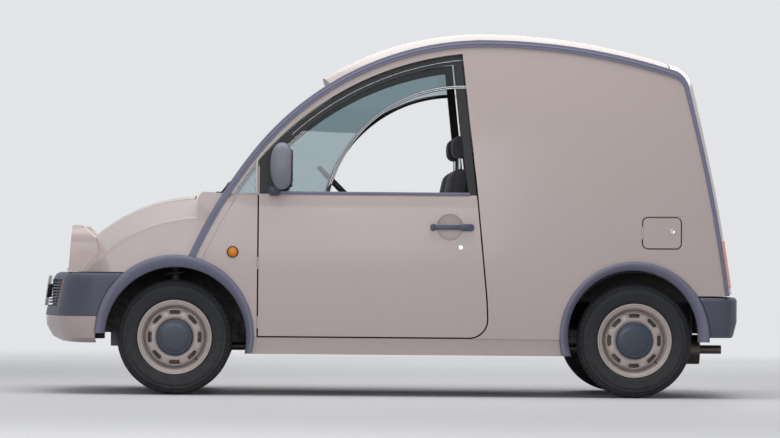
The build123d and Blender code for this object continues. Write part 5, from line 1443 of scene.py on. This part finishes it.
def cardPieces():
    rows = 14
    points = []
    for step in range(rows + 1):
        z = card["low"] + (card["high"] - card["low"]) * step / rows
        inner = skinY(z) - card["doorDepth"]
        for x in (card["rear"], card["front"]):
            for y in (inner, inner - card["thickness"]):
                points.append((x, y, z))
    faces = []
    for step in range(rows):
        a, b = step * 4, step * 4 + 4
        faces += [(a, a + 2, b + 2, b), (a + 1, b + 1, b + 3, a + 3), (a, b, b + 1, a + 1),
                  (a + 2, a + 3, b + 3, b + 2)]
    faces += [(0, 1, 3, 2), tuple(rows * 4 + i for i in (0, 2, 3, 1))]
    board = meshFrom("board", points, faces, 40)
    y = skinY(0.75) - card["doorDepth"]
    pull = tubeMesh([(-0.16, y - 0.004, 0.80), (-0.15, y - 0.030, 0.80), (0.02, y - 0.034, 0.80),
                     (0.17, y - 0.030, 0.80), (0.18, y - 0.004, 0.80)], 0.010, "dashPlastic", resolution=12)
    boss = spinMesh("boss", [(0.0, 0.018), (0.016, 0.016), (0.022, 0.0), (0.0, 0.0)],
                    Matrix.Translation((0.28, y - 0.004, 0.66)) @ turnAbout("X", 90), 32, 60)
    crank = tubeMesh([(0.28, y - 0.020, 0.66), (0.32, y - 0.026, 0.69), (0.36, y - 0.030, 0.715)], 0.006,
                     "dashPlastic", resolution=10)
    knob = tubeMesh([(0.36, y - 0.028, 0.715), (0.36, y - 0.052, 0.715)], 0.010, "dashPlastic", resolution=14)
    pocketY = skinY(0.42) - card["doorDepth"]
    pocket = plateMesh("pocket", (0.22, 0.42), (0.60, 0.15), 0.04, pocketY - 0.040, pocketY - 0.003, 0.008)
    return board, joined("fittings", pull, boss, crank, knob, pocket)


cardBoard, cardFittings = cardPieces()
onBothSides("doorCard", cardBoard, "trimBoard", doors)
onBothSides("doorFittings", cardFittings, "dashPlastic", doors)


def beltMesh():
    # Flat webbing from a high anchor on the post down behind the seat
    path = [(-0.455, 0.662, 1.190), (-0.462, 0.668, 1.00), (-0.470, 0.672, 0.80), (-0.474, 0.676, 0.55)]
    half = Vector((0.0235, 0, 0))
    points = []
    for x, y, z in path:
        for side in (-1, 1):
            for depth in (0.0, 0.0012):
                points.append((x + side * half.x, y + depth, z))
    faces = []
    for i in range(len(path) - 1):
        a, b = 4 * i, 4 * i + 4
        faces += [(a, b, b + 2, a + 2), (a + 1, a + 3, b + 3, b + 1), (a, a + 1, b + 1, b),
                  (a + 2, b + 2, b + 3, a + 3)]
    last = 4 * len(path) - 4
    faces += [(0, 2, 3, 1), (last, last + 1, last + 3, last + 2)]
    webbing = meshFrom("webbing", points, faces, 40)
    anchor = blockMesh("anchor", (-0.488, 0.655, 1.185), (-0.424, 0.700, 1.235), 0.008)
    reel = blockMesh("reel", (-0.515, 0.655, 0.505), (-0.430, 0.700, 0.585), 0.012)
    return joined("belt", webbing, anchor, reel)


onBothSides("seatBelt", beltMesh(), "blackPlastic")
print("cab fitted out")

# Wipers at the foot of the screen
wiper = {"pivots": ((0.8725, -0.36), (0.8725, 0.12)), "z": 0.978, "reach": 0.44, "blade": 0.42}


def wiperMesh(x, y):
    # An arm and blade lying along the foot of the glass
    z = wiper["z"]
    hub = spinMesh("wiperHub", [(0.0, 0.030), (0.010, 0.029), (0.014, 0.024), (0.016, 0.010), (0.018, 0.0),
                                (0.018, -0.008), (0.0, -0.008)], Matrix.Translation((x, y, z)), 24, 40)
    surface = surfaceOf(nodes["windscreen"].data)

    def onScreen(along, rise, proud):
        # A point in front of the glass, or nothing past its edge
        hit = surface.ray_cast(Vector((1.4, y + along, z + rise)), Vector((-1, 0, 0)))[0]
        return None if hit is None else (hit.x + proud, y + along, z + rise)

    path = [(x, y, z + 0.024)]
    blade = []
    for step in range(13):
        share = step / 12
        along, rise = wiper["reach"] * share, 0.022 + 0.050 * share
        if step > 0:
            path.append(onScreen(along, rise, 0.030) or (x, y + along, z + rise))
        along = wiper["reach"] - wiper["blade"] / 2 + wiper["blade"] * (share - 0.15)
        blade.append(onScreen(along, 0.052 + 0.022 * share, 0.012))
    arm = tubeMesh(path, 0.0045, "blackPlastic")
    rubber = tubeMesh([point for point in blade if point], 0.0065, "blackPlastic", resolution=6)
    return joined("wiper", hub, arm, rubber)


addPiece("wipers", joined("wipers", *(wiperMesh(x, y) for x, y in wiper["pivots"])), "blackPlastic")

# Rear window seal, tailgate grip and lock, all on the tailgate's own surface
tailgate = {"glass": (0.4297, 1.0503, 1.4497), "sealRadius": 0.007, "sealCorner": 0.06, "gripZ": 0.640,
            "gripHalf": 0.075, "gripLift": 0.005, "lockZ": 0.585}
tailgateFace = surfaceOf(nodes["tailgate"].data)
tailgateGlassFace = surfaceOf(nodes["tailgate_glass"].data)


def onTailgate(y, z, proud=0.0, face=tailgateFace):
    # The point of the tailgate's outer face behind a place, moved outwards, and its normal
    hit = face.ray_cast(Vector((-2.5, y, z)), Vector((1, 0, 0)))
    if hit[0] is None:
        hit = tailgateGlassFace.ray_cast(Vector((-2.5, y, z)), Vector((1, 0, 0)))
    normal = hit[1] if hit[1].x < 0 else -hit[1]
    return hit[0] + normal * proud, normal


def tailgatePieces():
    half, low, high = tailgate["glass"]
    ring = [onTailgate(y, z, 0.001, tailgateGlassFace)[0]
            for y, z in roundedOutline((0, (low + high) / 2), (2 * half - 0.012, high - low - 0.012),
                                       tailgate["sealCorner"])]
    sealTube = tubeMesh(ring, tailgate["sealRadius"], "blackPlastic", closed=True, resolution=10)
    gripPath = []
    for step in range(17):
        y = tailgate["gripHalf"] * (step / 8 - 1)
        lift = tailgate["gripLift"] * (1 - abs(step / 8 - 1) ** 6)
        gripPath.append(onTailgate(y, tailgate["gripZ"], lift)[0])
    grip = tubeMesh(gripPath, 0.0085, "blackPlastic", resolution=14)
    place, normal = onTailgate(0.0, tailgate["lockZ"])
    turned = Matrix.Translation(place) @ normal.to_track_quat("Z", "Y").to_matrix().to_4x4()
    lock = spinMesh("tailLock", [(0.0, 0.0022), (0.006, 0.0022), (0.0065, 0.004), (0.013, 0.0045),
                                 (0.015, 0.0015), (0.015, -0.004), (0.0, -0.004)], turned, 32, 35)
    return joined("tailgateTrim", sealTube, grip), lock


tailgateTrim, tailgateLock = tailgatePieces()
addPiece("tailgateTrim", tailgateTrim, "blackPlastic", "tailgate")
addPiece("tailgateLock", tailgateLock, "brightMetal", "tailgate")
print("wipers and tailgate fitted out")

# Coil springs, radiator fins, ribs on the load floor
# A spring's place (x, y), its lower and upper end, its radius and its turns
spring = {
    "front": (1.0725, 0.575, 0.590, 0.685, 0.052, 3.2),
    "rear": (-1.1275, 0.525, 0.335, 0.462, 0.054, 4.2),
}
# Repeated strips: the first one's corners, edge and its segments, the count, the step to the next, the finish
strips = {
    "radiatorFins": ((1.566, -0.30, 0.335), (1.590, 0.30, 0.3375), 0.0006, 1, 28, (0, 0, 0.008), "castMetal"),
    "loadFloorRibs": ((-1.58, -0.44, 0.4995), (-0.55, -0.415, 0.504), 0.002, 2, 9, (0, 0.107, 0), "floorMat"),
}


def springMesh(x, y, low, high, radius, turns):
    count = int(turns * 18)
    path = [(x + radius * cos(tau * i / 18), y + radius * sin(tau * i / 18), low + (high - low) * i / count)
            for i in range(count + 1)]
    return tubeMesh(path, 0.0058, "axleSteel")


for name, values in spring.items():
    onBothSides("spring." + name, springMesh(*values), "axleSteel")
for name, (low, high, edge, segments, count, offset, look) in strips.items():
    strip = blockMesh(name, low, high, edge, segments)
    addPiece(name, repeatMesh(strip, look, count, offset), look)
addPiece("cabMat", blockMesh("cabMat", (-0.45, -0.60, 0.2953), (0.66, 0.60, 0.3005), 0.003, 2), "floorMat")
print("springs, fins and floor made")
